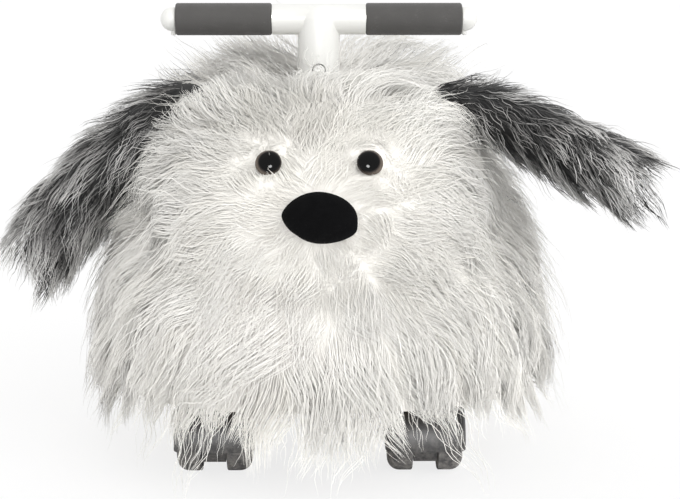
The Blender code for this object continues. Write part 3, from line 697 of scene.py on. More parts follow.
def zoneBody(mesh):
    centres = np.empty(len(mesh.polygons) * 3, np.float32)
    mesh.polygons.foreach_get("center", centres)
    zone = np.zeros(len(mesh.polygons))
    for name, *limits in zoneLimits:
        inside = np.ones(len(zone), bool)
        for values, (low, high) in zip(centres.reshape(-1, 3).T, limits):
            inside &= (values > low) & (values < high)
        zone[inside] = zones.index(name)
    storeValues(mesh, "zone", zone, "INT", "FACE")


tufts = {
    "ear_left": {"hinge": (0.095, -0.075, 0.272), "length": 0.1900, "droop": 22.0, "heading": 0.0, "sweep": 33.0,
                 "side": 1, "halfWidth": 0.028, "over": 0.022, "under": 0.016, "arch": 0.002, "pile": 0.047,
                 "tip": 0.80, "fold": 0.016},
    "ear_right": {"hinge": (-0.095, -0.075, 0.272), "length": 0.2105, "droop": 47.0, "heading": 0.0,
                  "sweep": -10.0, "side": -1, "halfWidth": 0.030, "over": 0.029, "under": 0.022, "arch": 0.007,
                  "pile": 0.048, "tip": 0.80, "fold": 0.016},
    "tail": {"hinge": (0.0, 0.2015, 0.217), "length": 0.054, "droop": 56.0, "heading": 90.0, "sweep": 0.0,
             "side": 1, "halfWidth": 0.010, "over": 0.009, "under": 0.003, "arch": 0.0, "pile": 0.036,
             "tip": 0.70, "fold": 0.008},
}
tuftShape = {
    # Place along it, half width, upper and lower half depth of each ring, as shares of the tuft's
    "ringShares": [(-0.06, 0.55, 0.40, 0.30), (0.02, 0.80, 0.66, 0.50), (0.12, 0.92, 0.84, 0.60),
                   (0.30, 1.0, 0.98, 0.70), (0.52, 1.0, 1.0, 0.85), (0.74, 0.88, 0.86, 1.0),
                   (0.90, 0.62, 0.58, 0.72)],
    "points": 24,
    "voxel": 0.004,
    "smoothing": 6,
    "flowShare": 1.25,         # the wall that guides the pile goes on past the tip
    "fill": 0.6,
    "rootFold": 0.4,           # how much of the fold lies before the hinge
    "downward": 0.45,
    "lengthShares": (0.80, 0.20, 0.28),     # at the root, how much more further on, how much less at the tip
    "topDepth": 0.25,
    "rootLie": 0.9,            # how much less the pile hangs at the root, and on top
    "topLie": 0.45,
    "tipGrey": 0.9,
}


def tuftPlace(tuft):
    turn = Euler((0.0, radians(tuft["side"] * tuft["droop"]), radians(tuft["heading"])), "XYZ").to_matrix()
    sweep = Matrix.Rotation(radians(-tuft["side"] * tuft["sweep"]), 3, "Z")
    return Matrix.LocRotScale(Vector(tuft["hinge"]), (turn @ sweep).to_quaternion(), None)


def tuftAxis(tuft):
    return tuftPlace(tuft).to_3x3() @ Vector((tuft["side"], 0, 0))


def tuftLoft(tuft, reach):
    rings = []
    for along, width, over, under in tuftShape["ringShares"]:
        ring = []
        rise = tuft["arch"] * (1 - (2 * along - 1) ** 2)
        for i in range(tuftShape["points"]):
            a = 2 * pi * (i + 0.5) / tuftShape["points"]
            depth = tuft["over"] * over if sin(a) > 0 else tuft["under"] * under
            ring.append((tuft["side"] * reach * along, tuft["halfWidth"] * width * cos(a),
                         depth * sin(a) + rise))
        rings.append(ring)
    root, tip = rings[0][0][0], tuft["side"] * reach
    return moveForm(loft([[(root, 0, 0)]] + rings + [[(tip, 0, 0)]]), tuftPlace(tuft))


def combTuft(mesh, tuft):
    points, normals = readPoints(mesh), readPoints(mesh, "normal")
    axis = np.array(tuftAxis(tuft))
    along = (points - np.array(tuft["hinge"])) @ axis / tuft["length"]
    down = np.array((0.0, 0.0, -1.0))
    droop = tuftShape["downward"] * spanOf("tuftDroopShare", along)[:, None]
    comb = tangent(axis + down * droop + np.zeros_like(points), normals)
    cover = np.where(along < tuft["tip"], 1.0, 0.0) * spanOf("tuftRootShare", along)
    least, more, less = tuftShape["lengthShares"]
    length = tuft["pile"] * (least + more * spanOf("tuftFullShare", along))
    onTop = spanOf("tuftTopShare", normals[:, 2]) * spanOf("tuftShoulderShare", along)
    storeComb(mesh, comb, normals, {
        "pileLength": length * (1 - less * spanOf("tuftTipShare", along)), "pileCover": cover,
        "pileDepth": 1.0 + tuftShape["topDepth"] * onTop,
        "pileDroop": 1.0 - tuftShape["rootLie"] * spanOf("tuftLieShare", along) - tuftShape["topLie"] * onTop,
        "pileGrey": tuftShape["tipGrey"] * spanOf("tuftGreyShare", along)})
    storeValues(mesh, "zone", np.zeros(len(mesh.polygons)), "INT", "FACE")


# Pile

pileInputs = {
    "Zone": ("Int", 0),
    "Strand Spacing": ("Float", 0.0026),
    "Density": ("Float", 100000.0),
    "Seed": ("Int", 1),
    "Steps": ("Int", 8),
    "Strand Radius": ("Float", 0.00045),
    "Length Scale": ("Float", 1.0),
    "Hem Trim": ("Float", 0.0),
    "Lift": ("Float", 0.30),
    "Bend": ("Float", 0.5),
    "Splay": ("Float", 0.25),
    "Droop": ("Float", 0.6),
    "Wave": ("Float", 0.6),
    "Wave Turns": ("Float", 1.4),
    "Drift": ("Float", 0.4),
    "Layer Depth": ("Float", 0.02),
    "Hem Only": ("Float", 0.0),
    "Crest Only": ("Float", 0.0),
    "Lock Density": ("Float", 9000.0),
    "Lock Pull": ("Float", 0.7),
    "Lock Tone": ("Float", 0.45),      # how far a lock's strands share their tone
    "Frizz": ("Float", 0.0012),
    # The shift moves a layer's tone: up into the grey locks, or down as painted shade on the face
    "Grey Shift": ("Float", 0.0),
    "Floor Gap": ("Float", 0.002),
    "Material": ("Material", None),
}
# Random ranges, each with its seed; those of a lock are the same for all its strands
lockDraws = {"splay": (-1.0, 1.0, 21), "length": (0.72, 1.15, 11), "layer": (0.28, 0.47, 13),
             "tone": (0.0, 1.0, 15), "grey": (0.0, 1.0, 22), "turns": (0.65, 1.4, 19), "phase": (0.0, 1.0, 20)}
strandDraws = {"length": (0.75, 1.15, 12), "layer": (0.27, 0.48, 14), "tone": (0.0, 1.0, 16),
               "phase": (0.0, 0.14, 17), "thickness": (0.65, 1.25, 18), "drift": (0.0, 1.0, 23)}
growth = {
    "lockSeed": 7,
    "toneShares": (0.6, 0.4),          # white strands fill the first share of the tones, grey ones the rest
    "rise": (1.8, 0.3),                # how fast a strand reaches its layer, and how softly
    "push": (50.0, -0.6, 0.75),        # towards its layer: strength, least and most
    "waveStart": 2.5,
    "waveUp": 0.4,
    "driftPlaces": (2.0, 3.71, 0.35),
    "frizzPlaces": (4.0, 1.37, 3.0),
    "gatherPower": 1.3,
    "taper": (2.5, 0.86),
    "bakeSpan": (0.94, 0.03),          # the material reads a strand's tone and place along it here
    "bakeTurns": (0.01, 0.02),
    "sides": 3,
}


def makePileTree():
    tree, given = formTree("longPile", pileInputs)

    def asked(name):
        return given[name]

    def stored(name, kind="FLOAT"):
        node = addNode(tree, "GeometryNodeInputNamedAttribute", {"Name": name}, data_type=kind)
        return node.outputs["Attribute"]

    def calc(operation, a, b=0.0, c=0.0):
        return mathNode(tree, operation, a, b, c)

    def times(*values):
        total = values[0]
        for value in values[1:]:
            total = calc("MULTIPLY", total, value)
        return total

    def vector(operation, a, b=(0.0, 0.0, 0.0)):
        node = addNode(tree, "ShaderNodeVectorMath", {0: a, 1: b}, operation=operation)
        return node.outputs["Value"] if operation == "DOT_PRODUCT" else node.outputs["Vector"]

    def scaled(a, factor):
        node = addNode(tree, "ShaderNodeVectorMath", {0: a, "Scale": factor}, operation="SCALE")
        return node.outputs["Vector"]

    def summed(*vectors):
        total = vectors[0]
        for item in vectors[1:]:
            total = vector("ADD", total, item)
        return total

    def joined(x, y, z):
        return addNode(tree, "ShaderNodeCombineXYZ", {0: x, 1: y, 2: z}).outputs[0]

    def keep(geometry, name, value, kind="FLOAT", domain="POINT"):
        node = addNode(tree, "GeometryNodeStoreNamedAttribute", {"Geometry": geometry, "Name": name},
                       data_type=kind, domain=domain)
        setInputs(node, {"Value": value})
        return node.outputs["Geometry"]

    def drawn(low, high, seed, number=None):
        node = addNode(tree, "FunctionNodeRandomValue", {"Min": low, "Max": high, "Seed": seed},
                       data_type="FLOAT")
        if number is not None:
            setInputs(node, {"ID": number})
        return outOf(node)

    def ofLock(name):
        return drawn(*lockDraws[name], nearest)

    def ofStrand(name, number=None):
        return drawn(*strandDraws[name], number)

    def mixed(factor, a, b, kind):
        node = addNode(tree, "ShaderNodeMix", data_type=kind)
        setInputs(node, {"Factor": factor, "A": a, "B": b})
        return outOf(node)

    def noise(place):
        node = addNode(tree, "ShaderNodeTexNoise", {"Vector": place, "Scale": 1.0, "Detail": 1.0})
        return scaled(vector("SUBTRACT", node.outputs["Color"], (0.5, 0.5, 0.5)), 2.0)

    here = addNode(tree, "GeometryNodeInputPosition").outputs[0]
    base = asked("Geometry")

    # Roots, each with its lock
    same = addNode(tree, "FunctionNodeCompare", {"A": stored("zone", "INT"), "B": asked("Zone")},
                   data_type="INT", operation="EQUAL").outputs[0]
    part = addNode(tree, "GeometryNodeSeparateGeometry", {"Geometry": base, "Selection": same}, domain="FACE")
    spread = addNode(tree, "GeometryNodeDistributePointsOnFaces", distribute_method="POISSON")
    above = calc("SUBTRACT", 1.0, times(asked("Hem Only"), calc("SUBTRACT", 1.0, stored("pileHem"))))
    back = calc("SUBTRACT", 1.0, times(asked("Crest Only"), calc("SUBTRACT", 1.0, stored("pileCrest"))))
    setInputs(spread, {"Mesh": part.outputs["Selection"], "Distance Min": asked("Strand Spacing"),
                       "Density Max": asked("Density"), "Density Factor": times(stored("pileCover"), above, back),
                       "Seed": asked("Seed")})
    locks = addNode(tree, "GeometryNodeDistributePointsOnFaces",
                    {"Mesh": base, "Density": asked("Lock Density"), "Seed": growth["lockSeed"]},
                    distribute_method="RANDOM")
    nearest = addNode(tree, "GeometryNodeSampleNearest",
                      {"Geometry": locks.outputs["Points"], "Sample Position": here}).outputs["Index"]
    lockSpot = addNode(tree, "GeometryNodeSampleIndex",
                       {"Geometry": locks.outputs["Points"], "Value": here, "Index": nearest},
                       data_type="FLOAT_VECTOR").outputs["Value"]
    count = addNode(tree, "GeometryNodeInputIndex").outputs[0]
    comb, upright = stored("comb", "FLOAT_VECTOR"), stored("skinNormal", "FLOAT_VECTOR")
    splay = times(asked("Splay"), ofLock("splay"))
    aside = vector("ADD", comb, scaled(vector("CROSS_PRODUCT", comb, upright), splay))
    start = mixed(asked("Lift"), aside, upright, "VECTOR")
    roots = spread.outputs["Points"]
    roots = keep(roots, "lockShift", vector("SUBTRACT", lockSpot, here), "FLOAT_VECTOR")
    roots = keep(roots, "lockNumber", nearest, "INT")
    roots = keep(roots, "strand", count, "INT")
    roots = keep(roots, "heading", vector("NORMALIZE", start), "FLOAT_VECTOR")
    roots = keep(roots, "splay", splay)
    trim = calc("SUBTRACT", 1.0, times(asked("Hem Trim"), stored("pileHem")))
    roots = keep(roots, "strandLength", times(stored("pileLength"), asked("Length Scale"), trim,
                                              ofLock("length"), ofStrand("length")))
    roots = keep(roots, "layer", calc("ADD", ofLock("layer"), ofStrand("layer")))
    whites, greys = growth["toneShares"]
    tone = times(mixed(asked("Lock Tone"), ofStrand("tone"), ofLock("tone"), "FLOAT"), whites)
    grey = times(calc("LESS_THAN", ofLock("grey"), stored("pileGrey")), greys)
    # The tone takes the painted shade between the eyes, and the layer's own shift
    roots = keep(roots, "tone", calc("ADD", calc("ADD", tone, stored("pileShade")),
                                     calc("ADD", grey, asked("Grey Shift"))))
    roots = keep(roots, "waveTurns", times(asked("Wave Turns"), ofLock("turns")))
    roots = keep(roots, "wavePhase", calc("ADD", ofLock("phase"), ofStrand("phase")))
    roots = keep(roots, "along", 0.0)
    roots = keep(roots, "shadeNormal", upright, "FLOAT_VECTOR")

    # Each turn of the loop grows every strand by one step
    growStart = addNode(tree, "GeometryNodeRepeatInput", {"Iterations": asked("Steps")})
    growEnd = addNode(tree, "GeometryNodeRepeatOutput")
    growStart.pair_with_output(growEnd)
    growEnd.repeat_items.new("GEOMETRY", "Trail")
    setInputs(growStart, {"Geometry": roots, "Trail": roots})
    reached = calc("DIVIDE", calc("ADD", growStart.outputs["Iteration"], 1.0), asked("Steps"))

    def sampled(value):
        return addNode(tree, "GeometryNodeSampleNearestSurface",
                       {"Mesh": base, "Value": value, "Sample Position": here},
                       data_type="FLOAT_VECTOR").outputs["Value"]

    under, flow, wall = sampled(here), sampled(comb), sampled(upright)
    height = vector("DOT_PRODUCT", vector("SUBTRACT", here, under), wall)
    rate, softness = growth["rise"]
    rise = calc("SMOOTH_MIN", times(reached, rate), 1.0, softness)
    wanted = times(stored("layer"), asked("Layer Depth"), stored("pileDepth"), rise)
    strength, least, most = growth["push"]
    push = times(calc("SUBTRACT", wanted, height), strength)
    push = calc("MAXIMUM", calc("MINIMUM", push, most), least)
    lateral = vector("CROSS_PRODUCT", flow, wall)
    phase = times(calc("ADD", times(reached, stored("waveTurns")), stored("wavePhase")), 2 * pi)
    swing = times(asked("Wave"), stored("pileCurl"), calc("MINIMUM", times(reached, growth["waveStart"]), 1.0))
    wave = vector("ADD", scaled(lateral, calc("ADD", times(calc("SINE", phase), swing), stored("splay"))),
                  scaled(wall, times(calc("COSINE", phase), swing, growth["waveUp"])))
    strand = stored("strand", "INT")
    wander = (reached, stored("lockNumber", "INT"), ofStrand("drift", strand))
    drift = scaled(noise(joined(*[times(value, size) for value, size in zip(wander, growth["driftPlaces"])])),
                   times(asked("Drift"), reached))
    pull = joined(0.0, 0.0, times(asked("Droop"), stored("pileDroop"), reached, -1.0))
    target = vector("NORMALIZE", summed(flow, scaled(wall, push), wave, drift, pull))
    bent = mixed(asked("Bend"), stored("heading", "FLOAT_VECTOR"), target, "VECTOR")
    front = keep(growStart.outputs["Geometry"], "heading", vector("NORMALIZE", bent), "FLOAT_VECTOR")
    front = keep(front, "along", reached)
    front = keep(front, "shadeNormal", wall, "FLOAT_VECTOR")
    stride = calc("DIVIDE", stored("strandLength"), asked("Steps"))
    front = addNode(tree, "GeometryNodeSetPosition",
                    {"Geometry": front, "Offset": scaled(stored("heading", "FLOAT_VECTOR"), stride)}).outputs[0]
    trail = addNode(tree, "GeometryNodeJoinGeometry")
    tree.links.new(growStart.outputs["Trail"], trail.inputs[0])
    tree.links.new(front, trail.inputs[0])
    setInputs(growEnd, {"Geometry": front, "Trail": trail.outputs[0]})

    # Strands are drawn together into locks and given their thickness
    curves = addNode(tree, "GeometryNodePointsToCurves",
                     {"Points": growEnd.outputs["Trail"], "Curve Group ID": strand,
                      "Weight": stored("along")}).outputs[0]
    along = stored("along")
    gather = scaled(stored("lockShift", "FLOAT_VECTOR"),
                    times(asked("Lock Pull"), calc("POWER", along, growth["gatherPower"])))
    down, across, apart = growth["frizzPlaces"]
    frizz = scaled(noise(joined(times(along, down), times(strand, across), apart)), times(asked("Frizz"), along))
    place = addNode(tree, "ShaderNodeSeparateXYZ", {0: summed(here, gather, frizz)})
    onFloor = joined(place.outputs["X"], place.outputs["Y"],
                     calc("MAXIMUM", place.outputs["Z"], asked("Floor Gap")))
    curves = addNode(tree, "GeometryNodeSetPosition", {"Geometry": curves, "Position": onFloor}).outputs[0]
    power, share = growth["taper"]
    taper = calc("SUBTRACT", 1.0, times(calc("POWER", along, power), share))
    thickness = times(asked("Strand Radius"), taper, ofStrand("thickness", strand))
    sides = growth["sides"]
    circle = addNode(tree, "GeometryNodeCurvePrimitiveCircle", {"Resolution": sides, "Radius": 1.0}).outputs[0]
    circle = keep(circle, "sideShare", calc("DIVIDE", count, float(sides)))
    hair = addNode(tree, "GeometryNodeCurveToMesh", {"Curve": curves, "Profile Curve": circle, "Scale": thickness,
                                                     "Fill Caps": True}).outputs[0]
    turn = times(stored("sideShare"), 2 * pi)
    span, start = growth["bakeSpan"]
    wide, high = growth["bakeTurns"]
    u = calc("ADD", calc("MULTIPLY_ADD", stored("tone"), span, start), times(calc("COSINE", turn), wide))
    v = calc("ADD", calc("MULTIPLY_ADD", along, span, start), times(calc("SINE", turn), high))
    hair = keep(hair, "OFBake", joined(u, v, 0.0), "FLOAT2", "CORNER")
    passing = ("sideShare", "tone", "along", "strand", "layer", "strandLength", "heading", "splay", "waveTurns",
               "wavePhase", "lockNumber", "lockShift", "comb", "skinNormal", "zone", *pileFields)
    for name in passing:
        hair = addNode(tree, "GeometryNodeRemoveAttribute", {"Geometry": hair, "Name": name}).outputs[0]
    hair = addNode(tree, "GeometryNodeSetShadeSmooth", {"Geometry": hair}).outputs[0]
    return endTree(tree, hair, asked("Material"))


def growPile(flow, tree, values):
    # One run of the tree on a skin, kept as a plain mesh
    return takeMesh(runTree(placeMesh("strands", flow.data), tree, values))


def makePileMaterial(name, rootStops, tipStops, turning, roughness, sheen):
    material, shader = newMaterial(name)
    tree = material.node_tree
    spot = addNode(tree, "ShaderNodeUVMap", uv_map="OFBake")
    parts = addNode(tree, "ShaderNodeSeparateXYZ", {0: spot.outputs[0]})
    root = ramp(tree, parts.outputs["X"], rootStops)
    tip = ramp(tree, parts.outputs["X"], tipStops)
    share = addNode(tree, "ShaderNodeMapRange", {"Value": parts.outputs["Y"], "From Min": turning[0],
                                                 "From Max": turning[1]}, interpolation_type="SMOOTHSTEP")
    setInputs(shader, {"Base Color": mixColour(tree, share.outputs[0], root, tip), "Roughness": roughness,
                       "Sheen Weight": sheen, "Specular IOR Level": 0.3})
    return material


# Colours along the tones, at a strand's root and at its tip; the white pile's last two are its grey locks
whitePile = {
    "rootStops": [(0.0, (0.90, 0.875, 0.815)), (0.12, (0.975, 0.951, 0.89)), (0.35, (0.983, 0.963, 0.912)),
                  (0.6, (0.99, 0.973, 0.93)), (0.66, (0.12, 0.12, 0.12)), (1.0, (0.30, 0.30, 0.29))],
    "tipStops": [(0.0, (0.91, 0.885, 0.82)), (0.12, (0.975, 0.95, 0.885)), (0.2, (0.983, 0.963, 0.908)),
                 (0.45, (0.99, 0.973, 0.93)), (0.62, (0.993, 0.98, 0.945)), (0.66, (0.34, 0.33, 0.32)),
                 (1.0, (0.85, 0.84, 0.82))],
    "turning": (0.15, 0.85),
    "roughness": 0.8,
    "sheen": 0.05,
}
charcoalPile = {
    "rootStops": [(0.0, (0.007, 0.007, 0.008)), (0.32, (0.013, 0.013, 0.013)), (0.42, (0.028, 0.027, 0.026)),
                  (0.50, (0.14, 0.135, 0.13)), (0.60, (0.42, 0.41, 0.40)), (1.0, (0.66, 0.65, 0.63))],
    "tipStops": [(0.0, (0.022, 0.022, 0.022)), (0.20, (0.10, 0.098, 0.095)), (0.31, (0.38, 0.37, 0.36)),
                 (0.42, (0.70, 0.69, 0.67)), (0.54, (0.86, 0.85, 0.83)), (1.0, (0.94, 0.93, 0.91))],
    "turning": (0.30, 0.95),
    "roughness": 0.5,
    "sheen": 0.1,
}

pileLayers = {
    "dense": {"Strand Spacing": 0.0020, "Density": 280000.0, "Seed": 3, "Strand Radius": 0.00037, "Lift": 0.25,
              "Bend": 0.55, "Splay": 0.36, "Droop": 0.7, "Wave": 0.85, "Wave Turns": 0.95, "Drift": 0.75,
              "Layer Depth": 0.015, "Lock Density": 1900.0, "Lock Pull": 0.62, "Frizz": 0.0006, "Hem Trim": 1.0,
              "Steps": 8},
    "loose": {"Strand Spacing": 0.0075, "Density": 20000.0, "Seed": 5, "Strand Radius": 0.00028, "Lift": 0.45,
              "Bend": 0.5, "Splay": 0.5, "Droop": 0.8, "Wave": 0.85, "Wave Turns": 2.0, "Drift": 0.8,
              "Layer Depth": 0.032, "Length Scale": 1.15, "Lock Density": 5000.0, "Lock Pull": 0.6,
              "Frizz": 0.002, "Hem Trim": 0.75, "Steps": 10},
    "fringe": {"Strand Spacing": 0.0042, "Density": 60000.0, "Seed": 12, "Strand Radius": 0.00032, "Lift": 0.40,
               "Bend": 0.5, "Splay": 0.7, "Droop": 0.7, "Wave": 1.5, "Wave Turns": 1.8, "Drift": 0.6,
               "Layer Depth": 0.020, "Length Scale": 0.95, "Hem Only": 1.0, "Lock Density": 800.0,
               "Lock Pull": 0.93, "Frizz": 0.0008, "Hem Trim": 0.15, "Steps": 12},
}
# How fine the strands are in each zone, as a share of the sizes above
fineness = {"face": 0.90, "chest": 0.86, "browLeft": 0.92, "browRight": 0.92, "flankLeft": 1.08,
            "flankRight": 1.08, "cheekLeft": 0.94, "cheekRight": 0.94, "crown": 1.07, "backLeft": 1.45,
            "backRight": 1.45, "rump": 1.45}
# The face's short pile has its tone shifted darker, as painted shade
facePile = {"Strand Spacing": 0.0022, "Density": 200000.0, "Seed": 9, "Strand Radius": 0.00030, "Lift": 0.30,
            "Bend": 0.5, "Splay": 0.25, "Droop": 0.2, "Wave": 0.4, "Wave Turns": 0.8, "Drift": 0.35,
            "Layer Depth": 0.007, "Length Scale": 0.85, "Lock Density": 5000.0, "Lock Pull": 0.5,
            "Frizz": 0.0006, "Grey Shift": -0.14, "Steps": 5}
crestPile = {"Strand Spacing": 0.0032, "Density": 100000.0, "Seed": 15, "Strand Radius": 0.00040, "Lift": 0.60,
             "Bend": 0.5, "Splay": 0.7, "Droop": 0.45, "Wave": 1.5, "Wave Turns": 1.1, "Drift": 0.7,
             "Layer Depth": 0.022, "Length Scale": 0.75, "Crest Only": 1.0, "Lock Density": 650.0,
             "Lock Pull": 0.93, "Lock Tone": 0.9, "Frizz": 0.0006, "Steps": 8}
tuftLayers = {
    "dense": {"Strand Spacing": 0.0022, "Density": 240000.0, "Seed": 4, "Strand Radius": 0.00038, "Lift": 0.32,
              "Bend": 0.5, "Splay": 0.32, "Droop": 0.5, "Wave": 0.7, "Wave Turns": 1.6, "Drift": 0.6,
              "Layer Depth": 0.014, "Lock Density": 5000.0, "Lock Pull": 0.65, "Lock Tone": 0.7, "Steps": 8},
    "loose": {"Strand Spacing": 0.0050, "Density": 40000.0, "Seed": 6, "Strand Radius": 0.00030, "Lift": 0.5,
              "Bend": 0.45, "Splay": 0.6, "Droop": 0.6, "Wave": 1.1, "Wave Turns": 2.0, "Drift": 0.8,
              "Layer Depth": 0.022, "Length Scale": 1.0, "Lock Density": 1600.0, "Lock Pull": 0.8,
              "Frizz": 0.0015, "Lock Tone": 0.9, "Grey Shift": 0.22, "Steps": 10},
}
tipPile = {**tuftLayers["dense"], "Seed": 21, "Lift": 0.90, "Bend": 0.30, "Splay": 0.6, "Layer Depth": 0.045,
           "Strand Spacing": 0.0018, "Density": 400000.0, "Steps": 6}
tipShape = {"forward": 0.5, "length": 0.75, "grey": 0.6}
crownLoose = {**pileLayers["loose"], "Length Scale": 0.85}
normalShare = 0.9              # how far a strand's normals lean towards the skin's


def softenShading(mesh):
    # Fine strands scatter light as the coat does, not as single wires
    normals = np.empty(len(mesh.vertices) * 3, np.float32)
    mesh.attributes["shadeNormal"].data.foreach_get("vector", normals)
    mesh.attributes.remove(mesh.attributes["shadeNormal"])
    own = readPoints(mesh, "normal")
    mixed = unit(normals.reshape(-1, 3) * normalShare + own * (1 - normalShare))
    mesh.normals_split_custom_set_from_vertices(mixed)


def growLayers(name, flow, tree, layers, zone, finish):
    form = bmesh.new()
    for values in layers:
        strands = growPile(flow, tree, {**values, "Zone": zone, "Material": finish})
        form.from_mesh(strands)
        bpy.data.meshes.remove(strands)
    mesh = meshOf(form, name)
    softenShading(mesh)
    mesh.materials.append(finish)
    print(name, sum(len(p.vertices) - 2 for p in mesh.polygons), "triangles")
    return placeMesh(name, mesh)


def layersOf(zone):
    layers = dict(pileLayers)
    if zone in ("face", "browLeft", "browRight"):
        layers["face"] = facePile
    if zone == "crown":
        layers.update(loose=crownLoose, crest=crestPile)
    share = fineness[zone]
    return [{**values, "Strand Spacing": values["Strand Spacing"] * share,
             "Density": values["Density"] / share ** 2, "Strand Radius": values["Strand Radius"] * share}
            for values in layers.values()]


def makeBodyPile(tree, finish):
    flow = makeBodyFlow()
    combBody(flow.data)
    zoneBody(flow.data)
    for index, zone in enumerate(zones):
        piece = growLayers("pile_" + zone, flow, tree, layersOf(zone), index, finish)
        settle(piece, "chassis", ["body_cover", "skirt_band", "head"], finish)
    return flow


def makeBodySkin(flow, backing):
    form = formOf(flow.data)
    bmesh.ops.bisect_plane(form, geom=form.verts[:] + form.edges[:] + form.faces[:],
                           plane_co=(0, 0, skin["hem"]), plane_no=(0, 0, 1), clear_inner=True)
    bmesh.ops.holes_fill(form, edges=[e for e in form.edges if e.is_boundary], sides=0)
    bmesh.ops.recalc_face_normals(form, faces=form.faces[:])
    piece = placeForm("body_skin", form)
    for name in ("comb", "skinNormal", "zone", *pileFields):
        piece.data.attributes.remove(piece.data.attributes[name])
    hole = rod(skin["stemHoleRadius"], skin["stemHoleFloor"], skin["stemHoleRoof"], skin["stemHoleSides"])
    cutForm(piece, shiftForm(hole, 0, skin["stemHole"], 0))
    shadeUpTo(piece.data, skin["creaseAngle"])
    settle(piece, "chassis", ["body_cover", "head", "skirt_band"], backing)
    bpy.data.objects.remove(flow, do_unlink=True)


def makeTipPile(node, tuft, tree, finish, skinMesh):
    # Strands that stand on the end of an ear or the tail
    flow = placeMesh("tipFlow", skinMesh.copy())
    points, normals = readPoints(flow.data), readPoints(flow.data, "normal")
    axis = np.array(tuftAxis(tuft))
    comb = tangent(axis * tipShape["forward"] + np.array((0.0, 0.0, -1.0)) + np.zeros_like(points), normals)
    storeComb(flow.data, comb, normals, {
        "pileLength": tuft["pile"] * tipShape["length"], "pileGrey": tipShape["grey"],
        "pileCover": spanOf("tuftEndShare", normals @ axis)})
    storeValues(flow.data, "zone", np.zeros(len(flow.data.polygons)), "INT", "FACE")
    piece = growLayers(node + "_tip_pile", flow, tree, [tipPile], 0, finish)
    bpy.data.objects.remove(flow, do_unlink=True)
    return piece


def makeTuft(node, tuft, tree, finish, backing):
    voxel, smoothing = tuftShape["voxel"], tuftShape["smoothing"]
    flow = remeshed(tuftLoft(tuft, tuft["length"] * tuftShape["flowShare"]), "flow", voxel, smoothing)
    combTuft(flow.data, tuft)
    pile = growLayers(node + "_pile", flow, tree, tuftLayers.values(), 0, finish)
    bpy.data.objects.remove(flow, do_unlink=True)
    body = remeshed(tuftLoft(tuft, tuft["length"] * tuft["tip"]), node + "_skin", voxel, smoothing)
    tips = makeTipPile(node, tuft, tree, finish, body.data)
    body.data.shade_smooth()
    body.data.materials.append(backing)
    hinge, fold = Vector(tuft["hinge"]), tuftAxis(tuft) * tuft["fold"]
    for piece in (pile, tips, body):
        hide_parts(node)
        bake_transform(piece)


def makeBacking(name, colour):
    material, shader = newMaterial(name)
    setInputs(shader, {"Base Color": (*colour, 1.0), "Roughness": 0.95})
    return material


# Handle

handle = {
    "place": -0.030,
    "barHeight": 0.330,
    "stemRadius": 0.016,
    "stemBottom": 0.250,
    "barRadius": 0.0117,
    "barHalf": 0.0355,
    "overrun": 0.004,
    "sides": 56,
    # Radius and height of each ring of the stem's rounded top, as shares
    "domeRings": [(1.0, 0.0), (0.90, 0.36), (0.66, 0.72), (0.35, 0.92), (0, 0.96)],
    "postRadius": 0.0143,
    "boreRoof": 0.0115,        # below the middle of the bar
    "tubeRadius": 0.0098,
    "fillet": 0.0055,
    "filletSteps": 5,
    "filletReach": 0.0006,     # an edge this near both tubes belongs to the joint between them
    "filletAngle": 0.3,
    "edgeRound": 0.0006,
    "gripRadius": 0.0122,
    "gripStart": 0.0358,
    "gripLength": 0.073,
    "gripBore": 0.0099,
    "gripRound": 0.0016,
    "roundSteps": 4,
    "capGap": 0.0003,
    "capPlug": [(0, -0.0135), (0.0068, -0.0135), (0.0077, -0.0125), (0.0077, 0.0)],
    "capEdge": 0.0004,
    "capRadius": 0.0090,
    "capLength": 0.0114,
    "capRim": 0.0025,
    "capSteps": 10,
    "capSides": 40,
    "capTab": (0.0035, 0.005, 0.0030),      # length, width and drop of the tab below the rim
    "tabRound": 0.0007,
    "buttonHalfWidth": 0.00475,
    "buttonHalfHeight": 0.0095,
    "buttonHeight": 0.2875,
    "buttonSink": 0.0014,      # how far its top leans in, its foot stands proud
    "buttonProud": 0.0006,
    "buttonPoints": 12,
    "buttonFace": [(-0.0010, 0.0), (-0.0004, 0.0002), (0.0, 0.0008)],    # extra width, and how far back
    "buttonBack": [(0.0, 0.0108), (0.0013, 0.0104), (0.0013, 0.0090)],     # extra width, and place
    "windowGap": 0.00045,
    "windowDepths": (0.021, 0.010),
    "buttonStroke": 0.003,
    "springWire": 0.00035,
    "springTurns": 5.0,
}


def stadium(extra):
    halfX = handle["buttonHalfWidth"] + extra
    straight = handle["buttonHalfHeight"] - handle["buttonHalfWidth"]
    steps = handle["buttonPoints"]
    angles = [pi * step / steps for step in range(steps + 1)]
    return [(end * halfX * cos(a), end * (straight + halfX * sin(a))) for end in (1, -1) for a in angles]


def buttonLoft(layers):
    # Layers of (extra, depth at the foot, depth at the top), all counted forward of the post's axis
    half = handle["buttonHalfHeight"]
    rings = [[(x, -(foot + (top - foot) * (z + half) / (2 * half)), z) for x, z in stadium(extra)]
             for extra, foot, top in layers]
    return shiftForm(loft(rings), 0, handle["place"], handle["buttonHeight"])


def filletJoint(form):
    # The round hollow where the bar meets the stem
    radius, barRadius, near = handle["stemRadius"], handle["barRadius"], handle["filletReach"]
    bmesh.ops.remove_doubles(form, verts=form.verts, dist=weldReach)
    joint = []
    for edge in form.edges:
        middle = (edge.verts[0].co + edge.verts[1].co) / 2
        onStem = abs(middle.xy.length - radius) < near
        onBar = abs(middle.yz.length - barRadius) < near
        if onStem and onBar and edge.calc_face_angle(0) > handle["filletAngle"]:
            joint.append(edge)
    bmesh.ops.bevel(form, geom=joint, offset=handle["fillet"], segments=handle["filletSteps"], profile=0.5,
                    affect="EDGES", clamp_overlap=True)


